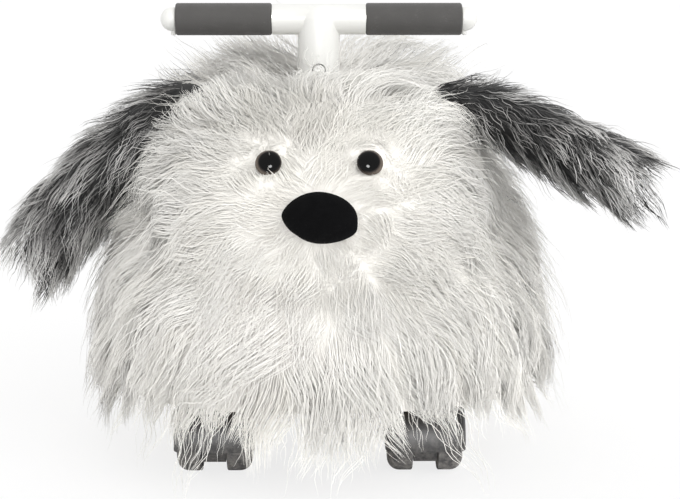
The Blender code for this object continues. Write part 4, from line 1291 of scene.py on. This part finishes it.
def makeTee(finish):
    height, radius, barRadius = handle["barHeight"], handle["stemRadius"], handle["barRadius"]
    place, half, sides, over = handle["place"], handle["barHalf"], handle["sides"], handle["overrun"]
    bottom = handle["stemBottom"]
    profile = [(0, bottom - height), (radius, bottom - height)]
    profile += [(radius * r, barRadius * h) for r, h in handle["domeRings"]]
    tee = placeForm("tee_piece", turned(profile, sides))
    cutForm(tee, rod(barRadius, -half, half, sides, "X"), "UNION")
    form = formOf(tee.data)
    filletJoint(form)
    shiftForm(form, 0, place, height).to_mesh(tee.data)
    form.free()
    cutForm(tee, shiftForm(rod(handle["postRadius"], bottom - over, height - handle["boreRoof"], sides),
                           0, place, 0))
    cutForm(tee, shiftForm(rod(handle["tubeRadius"], -half - over, half + over, sides, "X"), 0, place, height))
    cutForm(tee, buttonLoft([(handle["windowGap"], depth, depth) for depth in handle["windowDepths"]]))
    crispEdges(tee, handle["edgeRound"], 2)
    settle(tee, "chassis", ["handle_tee"], finish)


def makeButton(finish):
    front = handle["stemRadius"]
    foot, top = front + handle["buttonProud"], front - handle["buttonSink"]
    button = placeForm("push_button", buttonLoft(
        [(extra, foot - back, top - back) for extra, back in handle["buttonFace"]]
        + [(extra, depth, depth) for extra, depth in handle["buttonBack"]]))
    shadeUpTo(button.data, 45.0)
    settle(button, "lock_button", ["lock_button"], finish)


def makeSpring(finish):
    # A coil between the button's lip and the back of the stem
    tree, given = formTree("coilSpring", {"Turns": ("Float", handle["springTurns"]), "Radius": ("Float", 0.0),
                                          "Length": ("Float", 0.0), "Wire": ("Float", handle["springWire"]),
                                          "Material": ("Material", None)})
    coil = addNode(tree, "GeometryNodeCurveSpiral",
                   {"Resolution": 16, "Rotations": given["Turns"], "Start Radius": given["Radius"],
                    "End Radius": given["Radius"], "Height": given["Length"]}).outputs[0]
    wire = addNode(tree, "GeometryNodeCurvePrimitiveCircle", {"Resolution": 8, "Radius": given["Wire"]})
    made = addNode(tree, "GeometryNodeCurveToMesh",
                   {"Curve": coil, "Profile Curve": wire.outputs[0], "Fill Caps": True})
    endTree(tree, made.outputs[0], given["Material"])
    low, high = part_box("button_spring")
    middle, thick = (low + high) / 2, handle["springWire"]
    piece = placeMesh("button_coil", bpy.data.meshes.new("button_coil"))
    runTree(piece, tree, {"Radius": (high.z - low.z) / 2 - thick, "Length": high.y - low.y - 2 * thick,
                          "Turns": handle["springTurns"], "Wire": thick, "Material": finish})
    place = Matrix.Translation((middle.x, low.y + thick, middle.z))
    piece.data.transform(place @ Matrix.Rotation(-pi / 2, 4, "X"))
    piece.data.shade_smooth()
    settle(piece, "chassis", ["button_spring"], finish)
    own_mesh(piece)


def makeGripsAndCaps(foam, plastic):
    length, bore, rounding = handle["gripLength"], handle["gripBore"], handle["gripRound"]
    inner, start = handle["gripRadius"] - rounding, handle["gripStart"]
    turns = quarterTurn(handle["roundSteps"])
    profile = [(bore, 0.0), (inner, 0.0)]
    profile += [(inner + rounding * sin(a), rounding * (1 - cos(a))) for a in turns[1:]]
    profile += [(inner + rounding * cos(a), length - rounding + rounding * sin(a)) for a in turns]
    profile.append((bore, length))
    for name, side in (("left", 1), ("right", -1)):
        rings = turnedRings([(r, side * (start + along)) for r, along in profile], handle["sides"], "X")
        form = shiftForm(loft(rings, closed=True), 0, handle["place"], handle["barHeight"])
        grip = placeForm("foam_grip_" + name, form)
        shadeUpTo(grip.data, 60.0)
        settle(grip, "chassis", ["grip_" + name], foam)
        makeCap(name, side, start + length + handle["capGap"], plastic)


def makeCap(name, side, start, finish):
    radius, rim, length, edge = handle["capRadius"], handle["capRim"], handle["capLength"], handle["capEdge"]
    place, height = handle["place"], handle["barHeight"]
    profile = handle["capPlug"] + [(radius - edge, 0.0), (radius, edge), (radius, rim)]
    profile += [(radius * cos(a), rim + (length - rim) * sin(a)) for a in quarterTurn(handle["capSteps"])[1:-1]]
    profile.append((0, length))
    form = turned([(r, side * along) for r, along in profile], handle["capSides"], "X")
    cap = placeForm("bar_cap_" + name, shiftForm(form, side * start, place, height))
    tabLength, tabWidth, tabDrop = handle["capTab"]
    ends = sorted((side * start, side * (start + tabLength)))
    tab = blockForm((ends[0], place - tabWidth / 2, height - radius - tabDrop),
                    (ends[1], place + tabWidth / 2, height - radius / 2))
    bmesh.ops.bevel(tab, geom=tab.edges[:], offset=handle["tabRound"], segments=3, profile=0.5, affect="EDGES")
    cutForm(cap, tab, "UNION")
    shadeUpTo(cap.data, 40.0)
    settle(cap, "chassis", ["end_cap_" + name], finish)


# Nose and eyes

noseShape = {
    "segments": 72,
    "rings": 36,
    "smoothing": 7,
    "grid": 360,
    "fill": 0.9,
    # Its outline from the front, as shares of its half width and half height
    "outline": [(-1.0, 0.10), (-0.85, 0.46), (-0.60, 0.76), (-0.37, 0.92), (0.0, 1.0), (0.43, 0.87),
                (0.76, 0.60), (0.95, 0.26), (1.0, -0.22), (0.97, -0.58), (0.76, -0.78), (0.32, -0.97),
                (-0.17, -0.97), (-0.60, -0.66), (-0.90, -0.25)],
}


def noseReach(angle):
    x, z = np.array(noseShape["outline"]).T
    grid = np.linspace(-pi, pi, noseShape["grid"], endpoint=False)
    reach = np.interp(grid, *zip(*sorted(zip(np.arctan2(z, x), np.hypot(x, z)))), period=2 * pi)
    turns = range(-noseShape["smoothing"], noseShape["smoothing"] + 1)
    return np.interp(angle, grid, np.mean([np.roll(reach, turn) for turn in turns], axis=0), period=2 * pi)


def makeNose(finish):
    low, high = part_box("nose")
    middle, half = (low + high) / 2, (high - low) / 2
    form = bmesh.new()
    bmesh.ops.create_uvsphere(form, u_segments=noseShape["segments"], v_segments=noseShape["rings"], radius=1.0)
    bmesh.ops.rotate(form, verts=form.verts, matrix=Matrix.Rotation(pi / 2, 3, "X"))
    angles = np.linspace(-pi, pi, noseShape["grid"])
    widest = max(abs(np.cos(angles) * noseReach(angles)))
    tallest = max(abs(np.sin(angles) * noseReach(angles)))
    for point in form.verts:
        x, y, z = point.co
        reach = noseReach(atan2(z, x))
        point.co = Vector((x * reach / widest * half.x, y * half.y, z * reach / tallest * half.z)) + middle
    nose = placeForm("nose_pad", form)
    nose.data.shade_smooth()
    settle(nose, "chassis", ["nose"], finish)


eyeShape = {
    "radius": 0.009,
    "dome": 0.0062,
    "flange": 0.0012,
    "edge": 0.0004,
    "shankRadius": 0.0025,
    "shankLength": 0.015,
    "upAngle": 32.0,
    "outAngle": 10.0,
    "steps": 14,
    "sides": 48,
    "pupilShift": (0.0014, -0.0004),     # inwards and up
}


def eyeFrame(name, side):
    turn = Euler((radians(90.0 - eyeShape["upAngle"]), 0, radians(side * eyeShape["outAngle"])), "XYZ")
    outward = turn.to_matrix() @ Vector((0, 0, 1))
    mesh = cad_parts[name].data
    apex = max((v.co for v in mesh.vertices), key=lambda co: co.dot(outward))
    return Matrix.LocRotScale(Vector(apex) - outward * eyeShape["dome"], turn, None)


def makeEyes(finish):
    radius, flange, dome, edge = (eyeShape[key] for key in ("radius", "flange", "dome", "edge"))
    shank, length = eyeShape["shankRadius"], eyeShape["shankLength"]
    profile = [(0, -length), (shank, -length), (shank, 0), (radius - edge, 0), (radius, edge), (radius, flange)]
    turns = quarterTurn(eyeShape["steps"])[1:-1]
    profile += [(radius * cos(a), flange + (dome - flange) * sin(a)) for a in turns] + [(0, dome)]
    inward, rise = eyeShape["pupilShift"]
    for name, side in (("eye_left", 1), ("eye_right", -1)):
        mesh = meshOf(turned(profile, eyeShape["sides"]), name + "_dome")
        across, up, out = readPoints(mesh).T
        ring = np.hypot(across + side * inward, up - rise) / radius
        storeValues(mesh, "eyeRing", np.where(out > 0, ring, 1.0))
        mesh.transform(eyeFrame(name, side))
        eye = placeMesh(name + "_dome", shadeUpTo(mesh, 50.0))
        settle(eye, "chassis", [name], finish)


# Casters

caster = {
    "halfTrack": 0.078,
    "halfBase": 0.098,
    "trail": 0.015,
    "headings": {"front_left": 180.0, "front_right": 180.0, "rear_left": 0.0, "rear_right": 0.0},
    "wheelRadius": 0.025,
    "wheelWidth": 0.0185,
    "wheelEdge": 0.0008,
    "shoulder": 0.009,
    "shoulderSteps": 8,
    "innerFace": 0.00935,      # from the middle of the web to the wheel
    "webWidth": 0.0175,
    "webRadius": 0.0225,
    "bore": 0.0032,
    "boreSides": 20,
    "overrun": 0.004,
    "clearance": 0.0015,
    "hoodWall": 0.0018,
    "sideWall": 0.0012,
    "sideGap": 0.0006,
    "rimHeight": 0.021,
    "bossRadius": 0.00875,
    "bossFoot": 0.011,
    "bossRound": 0.0018,
    "bossEdge": 0.0005,
    "bossSides": 40,
    "collarRadius": 0.0108,
    "collarTop": 0.0545,
    "collarEdge": 0.0006,
    "axleHalf": 0.02,
    "pinBore": 0.0042,
    "pinSeat": 0.002,
    "pinSides": 24,
    "hubRings": [(0.0111, 0.0), (0.0105, 0.0005), (0.0042, 0.0005), (0.0036, 0.0001)],    # radius, and how deep
    "cutSpan": 0.12,
    "sides": 56,
}


def shoulder(inner, outer, radius, drop):
    rise = caster["shoulder"]
    return [(0, inner), (radius, inner), (radius, outer - rise)] + [
        (radius - drop + drop * cos(a), outer - rise + rise * sin(a))
        for a in quarterTurn(caster["shoulderSteps"])[1:]]


def makeWheelMesh():
    radius, width, edge, over = (caster[key] for key in ("wheelRadius", "wheelWidth", "wheelEdge", "overrun"))
    profile = [(0, 0), (radius - edge, 0), (radius, edge)] + shoulder(0, width, radius, caster["shoulder"])[2:]
    profile += [(ring, width - deep) for ring, deep in caster["hubRings"]] + [(0, width)]
    wheel = placeForm("wheel", turned(profile, caster["sides"], "X"))
    cutForm(wheel, rod(caster["bore"], -over, width - over, caster["boreSides"], "X"))
    return shadeUpTo(takeMesh(wheel), 40.0)


def makeHoodMesh():
    radius, trail, sides = caster["wheelRadius"], caster["trail"], caster["sides"]
    wide, over = caster["cutSpan"], caster["overrun"]
    hoodRadius = radius + caster["clearance"] + caster["hoodWall"]
    inner = caster["webWidth"] / 2
    outer = caster["innerFace"] + caster["wheelWidth"] + caster["sideGap"]
    half = outer + caster["sideWall"]
    right = shoulder(0, half, hoodRadius, caster["shoulder"])[2:]
    left = [(r, -along) for r, along in reversed(right)]
    shell = turned([(0, -half)] + left + right + [(0, half)], sides, "X")
    hood = placeForm("hood", shiftForm(shell, 0, trail, 0))
    cutForm(hood, blockForm((-wide, -wide, -wide), (wide, wide, caster["rimHeight"] - radius)))
    well = shoulder(inner, outer, radius + caster["clearance"], caster["shoulder"]) + [(0, outer)]
    for side in (-1, 1):
        cutForm(hood, shiftForm(turned([(r, side * along) for r, along in well], sides, "X"), 0, trail, 0))
    foot = caster["bossFoot"] - radius
    web = placeForm("web", shiftForm(rod(caster["webRadius"], -inner, inner, sides, "X"), 0, trail, 0))
    cutForm(web, blockForm((-wide, -wide, -wide), (wide, wide, foot)))
    cutForm(hood, formOf(takeMesh(web)), "UNION")
    boss, bossRound, bossEdge = caster["bossRadius"], caster["bossRound"], caster["bossEdge"]
    collar, edge = caster["collarRadius"], caster["collarEdge"]
    top, low = caster["collarTop"] - radius, hoodRadius - caster["hoodWall"]
    profile = [(0, foot), (boss - bossRound, foot), (boss - bossEdge, foot + bossEdge), (boss, foot + bossRound),
               (boss, low), (collar, low), (collar, top - edge), (collar - edge, top), (0, top)]
    cutForm(hood, turned(profile, caster["bossSides"]), "UNION")
    axle = rod(caster["bore"], -caster["axleHalf"], caster["axleHalf"], caster["boreSides"], "X")
    cutForm(hood, shiftForm(axle, 0, trail, 0))
    cutForm(hood, rod(caster["pinBore"], foot + caster["pinSeat"], top + over, caster["pinSides"]))
    return shadeUpTo(takeMesh(hood), 40.0)


def makeCasters(nylon, wheelPlastic):
    wheelMesh, hoodMesh = makeWheelMesh(), makeHoodMesh()
    for corner, heading in caster["headings"].items():
        x = caster["halfTrack"] * (1 if corner.endswith("left") else -1)
        y = caster["halfBase"] * (-1 if corner.startswith("front") else 1)
        place = Matrix.Translation((x, y, caster["wheelRadius"])) @ Matrix.Rotation(radians(heading), 4, "Z")
        mesh = hoodMesh.copy()
        mesh.transform(place)
        hood = placeMesh("hood_" + corner, mesh)
        settle(hood, "caster_" + corner, ["caster_hood_" + corner], nylon)
        outboard = 1 if x * cos(radians(heading)) > 0 else -1
        for name, side in (("outboard", outboard), ("inboard", -outboard)):
            mesh = wheelMesh.copy()
            turn = Matrix.Rotation(0 if side > 0 else pi, 4, "Z")
            mesh.transform(place @ Matrix.Translation((side * caster["innerFace"], caster["trail"], 0)) @ turn)
            wheel = corner + "_" + name
            settle(placeMesh("roller_" + wheel, mesh), "wheel_" + wheel, ["wheel_" + wheel],
                   wheelPlastic)
    print("casters done")


# Underside: a dust cloth with its staples, and the screws of the caster plates

underside = {
    "clothSize": (0.090, 0.280),
    "clothTrim": 0.0002,       # how far the cloth stops short of its cut size
    "clothCells": (30, 92),
    "clothThick": 0.0005,
    "clothPucker": 0.00018,
    "edgePower": 4,            # the pucker gathers at the edge
    "ripple": (0.5, 9, 4),     # its slow part: level, and waves across and along
    "stapleStep": 0.026,
    "stapleInset": 0.0035,
    "stapleHalf": (0.0050, 0.0006),
    "stapleRise": 0.0005,
    "stapleTurn": 0.10,
    "fastenerRound": 0.0001,
    "screwOffset": 0.0135,     # from the swivel pin, both ways
    "plateBottom": 0.0600,
    "screwHead": [(0, 0.0003), (0.0034, 0.0003), (0.0034, -0.0007), (0.0029, -0.0013), (0.0017, -0.0016),
                  (0, -0.0016)],
    "screwSides": 12,
    "recess": (0.0019, 0.00035, 0.0009),
    "overrun": 0.001,
}


def makeFastenerTree():
    tree, given = formTree("fasteners", {"Fastener": ("Object", None), "Turn": ("Float", 0.0),
                                         "Seed": ("Int", 2), "Material": ("Material", None)})
    heading = addNode(tree, "GeometryNodeInputNamedAttribute", {"Name": "heading"}, data_type="FLOAT")
    loose = addNode(tree, "FunctionNodeRandomValue", {"Min": -1.0, "Max": 1.0, "Seed": given["Seed"]},
                    data_type="FLOAT")
    turn = mathNode(tree, "MULTIPLY_ADD", outOf(loose), given["Turn"], heading.outputs["Attribute"])
    form = addNode(tree, "GeometryNodeObjectInfo", {"Object": given["Fastener"]}).outputs["Geometry"]
    placed = addNode(tree, "GeometryNodeInstanceOnPoints",
                     {"Points": given["Geometry"], "Instance": form,
                      "Rotation": addNode(tree, "ShaderNodeCombineXYZ", {2: turn}).outputs[0]}).outputs[0]
    return endTree(tree, placed, given["Material"])


def placeFasteners(name, tree, form, spots, finish, turn):
    # One at each spot (x, y, z, heading)
    fastener = placeForm(name + "_one", form)
    crispEdges(fastener, underside["fastenerRound"], 1)
    mesh = bpy.data.meshes.new(name)
    mesh.from_pydata([spot[:3] for spot in spots], [], [])
    storeValues(mesh, "heading", [spot[3] for spot in spots])
    piece = placeMesh(name, mesh)
    runTree(piece, tree, {"Fastener": fastener, "Turn": turn, "Seed": 2, "Material": finish})
    bpy.data.objects.remove(fastener, do_unlink=True)
    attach(piece, "chassis")
    return piece


def makeDustCloth(tree, cambric, steel):
    low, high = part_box("bottom_cloth")
    halfX, halfY = (size / 2 - underside["clothTrim"] / 2 for size in underside["clothSize"])
    inset, step, rise = underside["stapleInset"], underside["stapleStep"], underside["stapleRise"]
    middle, thick = (low.z + high.z) / 2, underside["clothThick"]
    cellsX, cellsY = underside["clothCells"]
    level, across, onward = underside["ripple"]
    form = bmesh.new()
    bmesh.ops.create_grid(form, x_segments=cellsX, y_segments=cellsY, size=1.0)
    for point in form.verts:
        x, y, _ = point.co
        edge = max(abs(x), abs(y)) ** underside["edgePower"]
        ripple = sin(y * halfY * 2 * pi / step) + level * sin(x * across + y * onward)
        point.co = (x * halfX, y * halfY, middle + thick / 2 + underside["clothPucker"] * edge * ripple)
    cloth = placeForm("dust_cloth", form)
    wall = cloth.modifiers.new("wall", "SOLIDIFY")
    wall.thickness = thick
    shadeUpTo(keepResult(cloth, "dust_cloth").data, 50.0)
    settle(cloth, "chassis", ["bottom_cloth"], cambric)

    reachX, reachY = halfX - inset, halfY - inset
    spots = [(side * reachX, y, low.z + rise, pi / 2) for side in (-1, 1)
             for y in np.linspace(-reachY + step / 2, reachY - step / 2, int(2 * reachY / step))]
    spots += [(x, side * reachY, low.z + rise, 0.0) for side in (-1, 1)
              for x in np.linspace(-reachX + step / 3, reachX - step / 3, int(2 * reachX / step) + 1)]
    halfLong, halfThin = underside["stapleHalf"]
    staple = blockForm((-halfLong, -halfThin, -rise), (halfLong, halfThin, rise))
    staples = placeFasteners("staples", tree, staple, spots, steel, underside["stapleTurn"])


def makeScrews(tree, steel):
    head = placeForm("head", turned(underside["screwHead"], underside["screwSides"]))
    long, thin, deep = underside["recess"]
    foot = underside["screwHead"][-1][1]
    for x, y in ((long, thin), (thin, long)):
        cutForm(head, blockForm((-x, -y, foot - underside["overrun"]), (x, y, foot + deep)))
    offset = underside["screwOffset"]
    spots = [(sideX * caster["halfTrack"] + x, sideY * caster["halfBase"] + y, underside["plateBottom"], 0.0)
             for sideX in (-1, 1) for sideY in (-1, 1) for x in (-offset, offset) for y in (-offset, offset)]
    placeFasteners("plate_screws", tree, formOf(takeMesh(head)), spots, steel, pi)


def makeFoamBlock(foam):
    form = formOf(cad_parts["foam_core"].data)
    bmesh.ops.remove_doubles(form, verts=form.verts, dist=weldReach)
    core = placeForm("foam_block", form)
    settle(core, "chassis", ["foam_core"], foam)


# Finishes

def effectGroup(name, inputs, outputs):
    tree = bpy.data.node_groups.new(name, "ShaderNodeTree")
    for title, (kind, value) in inputs.items():
        socket = tree.interface.new_socket(title, in_out="INPUT", socket_type="NodeSocket" + kind)
        socket.default_value = value
    for title, kind in outputs.items():
        tree.interface.new_socket(title, in_out="OUTPUT", socket_type="NodeSocket" + kind)
    return tree, addNode(tree, "NodeGroupInput").outputs, addNode(tree, "NodeGroupOutput")


def noiseNode(tree, place, size, **inputs):
    titled = {key.capitalize(): value for key, value in inputs.items()}
    return addNode(tree, "ShaderNodeTexNoise", {"Vector": place, "Scale": size, **titled}).outputs[0]


def rangeNode(tree, value, low, high):
    return addNode(tree, "ShaderNodeMapRange", {"Value": value, "From Min": low, "From Max": high}).outputs[0]


def stretched(tree, place, by):
    return addNode(tree, "ShaderNodeVectorMath", {0: place, 1: by}, operation="MULTIPLY").outputs[0]


def objectPlace(tree):
    return addNode(tree, "ShaderNodeTexCoord").outputs["Object"]


def makeGrainGroup():
    # Fine surface grain: a mask and the normal that goes with it
    tree, given, result = effectGroup(
        "fineGrain", {"Size": ("Float", 1500.0), "Depth": ("Float", 0.00005),
                      "Stretch": ("Vector", (1.0, 1.0, 1.0))},
        {"Mask": "Float", "Normal": "Vector"})
    place = stretched(tree, objectPlace(tree), given["Stretch"])
    mask = noiseNode(tree, place, given["Size"], detail=3.0, roughness=0.6)
    bump = addNode(tree, "ShaderNodeBump", {"Height": mask, "Distance": given["Depth"]})
    setInputs(result, {"Mask": mask, "Normal": bump.outputs[0]})
    return tree


def makeScuffGroup():
    # Thin scratches where the surface is rubbed, 0 where it is whole
    tree, given, result = effectGroup("scuffs", {"Size": ("Float", 60.0), "Amount": ("Float", 0.3)},
                                      {"Mask": "Float"})
    place = objectPlace(tree)
    spots = rangeNode(tree, noiseNode(tree, place, given["Size"], detail=2.0), 0.52, 0.72)
    thin = stretched(tree, place, (1.0, 7.0, 2.0))
    lines = rangeNode(tree, noiseNode(tree, thin, 420.0, detail=4.0), 0.56, 0.66)
    both = mathNode(tree, "MULTIPLY", spots, lines)
    setInputs(result, {"Mask": mathNode(tree, "MULTIPLY", both, given["Amount"])})
    return tree


def makeDustGroup():
    # Floor dust that thins out with height
    tree, given, result = effectGroup("floorDust", {"Reach": ("Float", 0.03), "Amount": ("Float", 0.4)},
                                      {"Mask": "Float"})
    place = objectPlace(tree)
    height = addNode(tree, "ShaderNodeSeparateXYZ", {0: place}).outputs["Z"]
    low = mathNode(tree, "SUBTRACT", 1.0, mathNode(tree, "DIVIDE", height, given["Reach"]))
    low = addNode(tree, "ShaderNodeClamp", {"Value": low}).outputs[0]
    patch = rangeNode(tree, noiseNode(tree, place, 180.0, detail=5.0, roughness=0.7), 0.40, 0.70)
    both = mathNode(tree, "MULTIPLY", low, patch)
    setInputs(result, {"Mask": mathNode(tree, "MULTIPLY", both, given["Amount"])})
    return tree


def effect(tree, group, **inputs):
    node = tree.nodes.new("ShaderNodeGroup")
    node.node_tree = group
    for key, value in inputs.items():
        node.inputs[key.capitalize()].default_value = value
    return node.outputs


plastics = {
    "whitePlastic": {"colour": (0.80, 0.80, 0.775), "second": (0.765, 0.76, 0.73), "worn": (0.66, 0.65, 0.62),
                     "rough": (0.42, 0.52), "grain": 900.0, "depth": 0.00003, "scuff": 0.35, "dust": 0.0},
    "casterNylon": {"colour": (0.034, 0.033, 0.034), "second": (0.046, 0.044, 0.045),
                    "worn": (0.15, 0.145, 0.14), "rough": (0.38, 0.55), "grain": 1600.0,
                    "depth": 0.00006, "scuff": 0.8, "dust": 0.5},
    "wheelPlastic": {"colour": (0.056, 0.054, 0.056), "second": (0.076, 0.073, 0.074),
                     "worn": (0.20, 0.195, 0.19), "rough": (0.45, 0.62), "grain": 1300.0,
                     "depth": 0.00005, "scuff": 0.9, "dust": 0.8},
    "washerPlastic": {"colour": (0.72, 0.72, 0.69), "second": (0.68, 0.68, 0.65), "worn": (0.60, 0.60, 0.57),
                      "rough": (0.40, 0.50), "grain": 1200.0, "depth": 0.00003, "scuff": 0.2, "dust": 0.0},
}


def makePlastic(name, groups, colour, second, worn, rough, grain, depth, scuff, dust):
    material, shader = newMaterial(name)
    tree = material.node_tree
    fine = effect(tree, groups["grain"], size=grain, depth=depth)
    broad = effect(tree, groups["grain"], size=45.0, depth=0.0)
    rubbed = effect(tree, groups["scuff"], size=70.0, amount=scuff)
    dusty = effect(tree, groups["dust"], reach=0.045, amount=dust)
    base = mixColour(tree, broad["Mask"], colour, second)
    base = mixColour(tree, rubbed["Mask"], base, worn)
    base = mixColour(tree, dusty["Mask"], base, (0.42, 0.40, 0.37))
    roughness = mixValue(tree, rubbed["Mask"], mixValue(tree, fine["Mask"], *rough), 0.75)
    setInputs(shader, {"Base Color": base, "Roughness": roughness, "Normal": fine["Normal"]})
    return material


def makeGripFoam(groups):
    material, shader = newMaterial("gripFoam")
    tree = material.node_tree
    cells = addNode(tree, "ShaderNodeTexVoronoi", {"Vector": objectPlace(tree), "Scale": 1500.0})
    fine = effect(tree, groups["grain"], size=2200.0, depth=0.0)
    height = mathNode(tree, "MULTIPLY_ADD", cells.outputs["Distance"], 0.7, fine["Mask"])
    bump = addNode(tree, "ShaderNodeBump", {"Height": height, "Distance": 0.00018, "Strength": 0.8})
    broad = effect(tree, groups["grain"], size=70.0, depth=0.0)
    rubbed = effect(tree, groups["scuff"], size=90.0, amount=0.6)
    base = mixColour(tree, broad["Mask"], (0.068, 0.0655, 0.063), (0.090, 0.087, 0.084))
    base = mixColour(tree, rubbed["Mask"], base, (0.13, 0.126, 0.122))
    setInputs(shader, {"Base Color": base, "Roughness": 0.85, "Normal": bump.outputs[0], "Sheen Weight": 0.15,
                       "Specular IOR Level": 0.3})
    return material


def makeVelour(groups):
    material, shader = newMaterial("blackVelour")
    tree = material.node_tree
    fine = effect(tree, groups["grain"], size=2600.0, depth=0.0002)
    broad = effect(tree, groups["grain"], size=160.0, depth=0.0)
    base = mixColour(tree, broad["Mask"], (0.0025, 0.0025, 0.0027), (0.006, 0.006, 0.0065))
    setInputs(shader, {"Base Color": base, "Roughness": 1.0, "Normal": fine["Normal"], "Sheen Weight": 0.015,
                       "Specular IOR Level": 0.03})
    return material


def makeEyePlastic(groups):
    material, shader = newMaterial("eyePlastic")
    tree = material.node_tree
    ring = addNode(tree, "ShaderNodeAttribute", attribute_name="eyeRing").outputs["Fac"]
    colour = ramp(tree, ring, [(0.0, (0.001, 0.001, 0.001)), (0.76, (0.001, 0.001, 0.001)),
                               (0.84, (0.040, 0.032, 0.028)), (0.93, (0.130, 0.106, 0.088)),
                               (1.0, (0.150, 0.122, 0.100))])
    streaks = effect(tree, groups["grain"], size=700.0, depth=0.0)
    colour = mixColour(tree, mathNode(tree, "MULTIPLY", streaks["Mask"], 0.35), colour, (0.0, 0.0, 0.0))
    setInputs(shader, {"Base Color": colour, "Roughness": 0.10, "Specular IOR Level": 0.05, "Coat Weight": 0.22,
                       "Coat Roughness": 0.02})
    return material


def makeSteel(groups):
    material, shader = newMaterial("zincSteel")
    tree = material.node_tree
    fine = effect(tree, groups["grain"], size=500.0, depth=0.00002)
    broad = effect(tree, groups["grain"], size=60.0, depth=0.0)
    base = mixColour(tree, broad["Mask"], (0.58, 0.58, 0.56), (0.68, 0.67, 0.64))
    roughness = mixValue(tree, fine["Mask"], 0.28, 0.45)
    setInputs(shader, {"Base Color": base, "Metallic": 1.0, "Roughness": roughness, "Normal": fine["Normal"]})
    return material


def makePlywood(groups):
    material, shader = newMaterial("birchPlywood")
    tree = material.node_tree
    grain = effect(tree, groups["grain"], size=260.0, depth=0.00008, stretch=(1.0, 0.06, 1.0))
    face = mixColour(tree, grain["Mask"], (0.56, 0.40, 0.24), (0.74, 0.58, 0.39))
    height = addNode(tree, "ShaderNodeSeparateXYZ", {0: objectPlace(tree)}).outputs["Z"]
    layer = mathNode(tree, "FRACT", mathNode(tree, "DIVIDE", height, 0.003))
    band = mathNode(tree, "GREATER_THAN", layer, 0.5)
    edge = mixColour(tree, band, (0.40, 0.25, 0.14), (0.66, 0.50, 0.33))
    edge = mixColour(tree, mathNode(tree, "MULTIPLY", grain["Mask"], 0.5), edge, (0.30, 0.19, 0.10))
    facing = addNode(tree, "ShaderNodeNewGeometry").outputs["True Normal"]
    turn = addNode(tree, "ShaderNodeSeparateXYZ", {0: facing})
    level = mathNode(tree, "GREATER_THAN", mathNode(tree, "ABSOLUTE", turn.outputs["Z"]), 0.7)
    setInputs(shader, {"Base Color": mixColour(tree, level, edge, face), "Roughness": 0.62,
                       "Normal": grain["Normal"]})
    return material


cloths = {
    "blackCambric": {"colour": (0.018, 0.018, 0.019), "second": (0.050, 0.050, 0.052), "size": 1800.0,
                     "depth": 0.0002, "roughness": 0.92},
    "upholsteryFoam": {"colour": (0.80, 0.72, 0.50), "second": (0.88, 0.82, 0.62), "size": 900.0,
                       "depth": 0.0004, "roughness": 0.95},
}


def makeCloth(name, groups, colour, second, size, depth, roughness):
    material, shader = newMaterial(name)
    tree = material.node_tree
    fine = effect(tree, groups["grain"], size=size, depth=depth)
    base = mixColour(tree, fine["Mask"], colour, second)
    setInputs(shader, {"Base Color": base, "Roughness": roughness, "Normal": fine["Normal"],
                       "Sheen Weight": 0.1})
    return material


def finishNode(node, finish):
    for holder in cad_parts[node].material_slots:
        holder.material = finish


def makeBodyAndTufts():
    tree = makePileTree()
    white = makePileMaterial("whitePile", **whitePile)
    charcoal = makePileMaterial("charcoalPile", **charcoalPile)
    flow = makeBodyPile(tree, white)
    makeBodySkin(flow, makeBacking("whiteBacking", (0.90, 0.875, 0.825)))
    print("body done")
    backing = makeBacking("charcoalBacking", (0.02, 0.02, 0.02))
    for node, tuft in tufts.items():
        makeTuft(node, tuft, tree, charcoal, backing)
    print("ears and tail done")


def makePlainPieces():
    groups = {"grain": makeGrainGroup(), "scuff": makeScuffGroup(), "dust": makeDustGroup()}
    finishes = {name: makePlastic(name, groups, **values) for name, values in plastics.items()}
    steel = makeSteel(groups)
    makeTee(finishes["whitePlastic"])
    makeButton(finishes["whitePlastic"])
    makeSpring(steel)
    makeGripsAndCaps(makeGripFoam(groups), finishes["whitePlastic"])
    print("handle done")
    makeNose(makeVelour(groups))
    makeEyes(makeEyePlastic(groups))
    print("face done")
    makeCasters(finishes["casterNylon"], finishes["wheelPlastic"])
    cambric, foam = (makeCloth(name, groups, **values) for name, values in cloths.items())
    fastenerTree = makeFastenerTree()
    makeDustCloth(fastenerTree, cambric, steel)
    makeScrews(fastenerTree, steel)
    makeFoamBlock(foam)
    print("underside done")
    looks = {"handle_post": steel, "cross_tube": steel, "caster_plate": steel, "caster_axle": steel,
             "post_flange": finishes["whitePlastic"], "eye_washer": finishes["washerPlastic"],
             "base_board": makePlywood(groups)}
    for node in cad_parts:
        for start, look in looks.items():
            if node.startswith(start):
                finishNode(node, look)
    print("finishes done")


makeStudio()
makeCamera()
makeBodyAndTufts()
makePlainPieces()
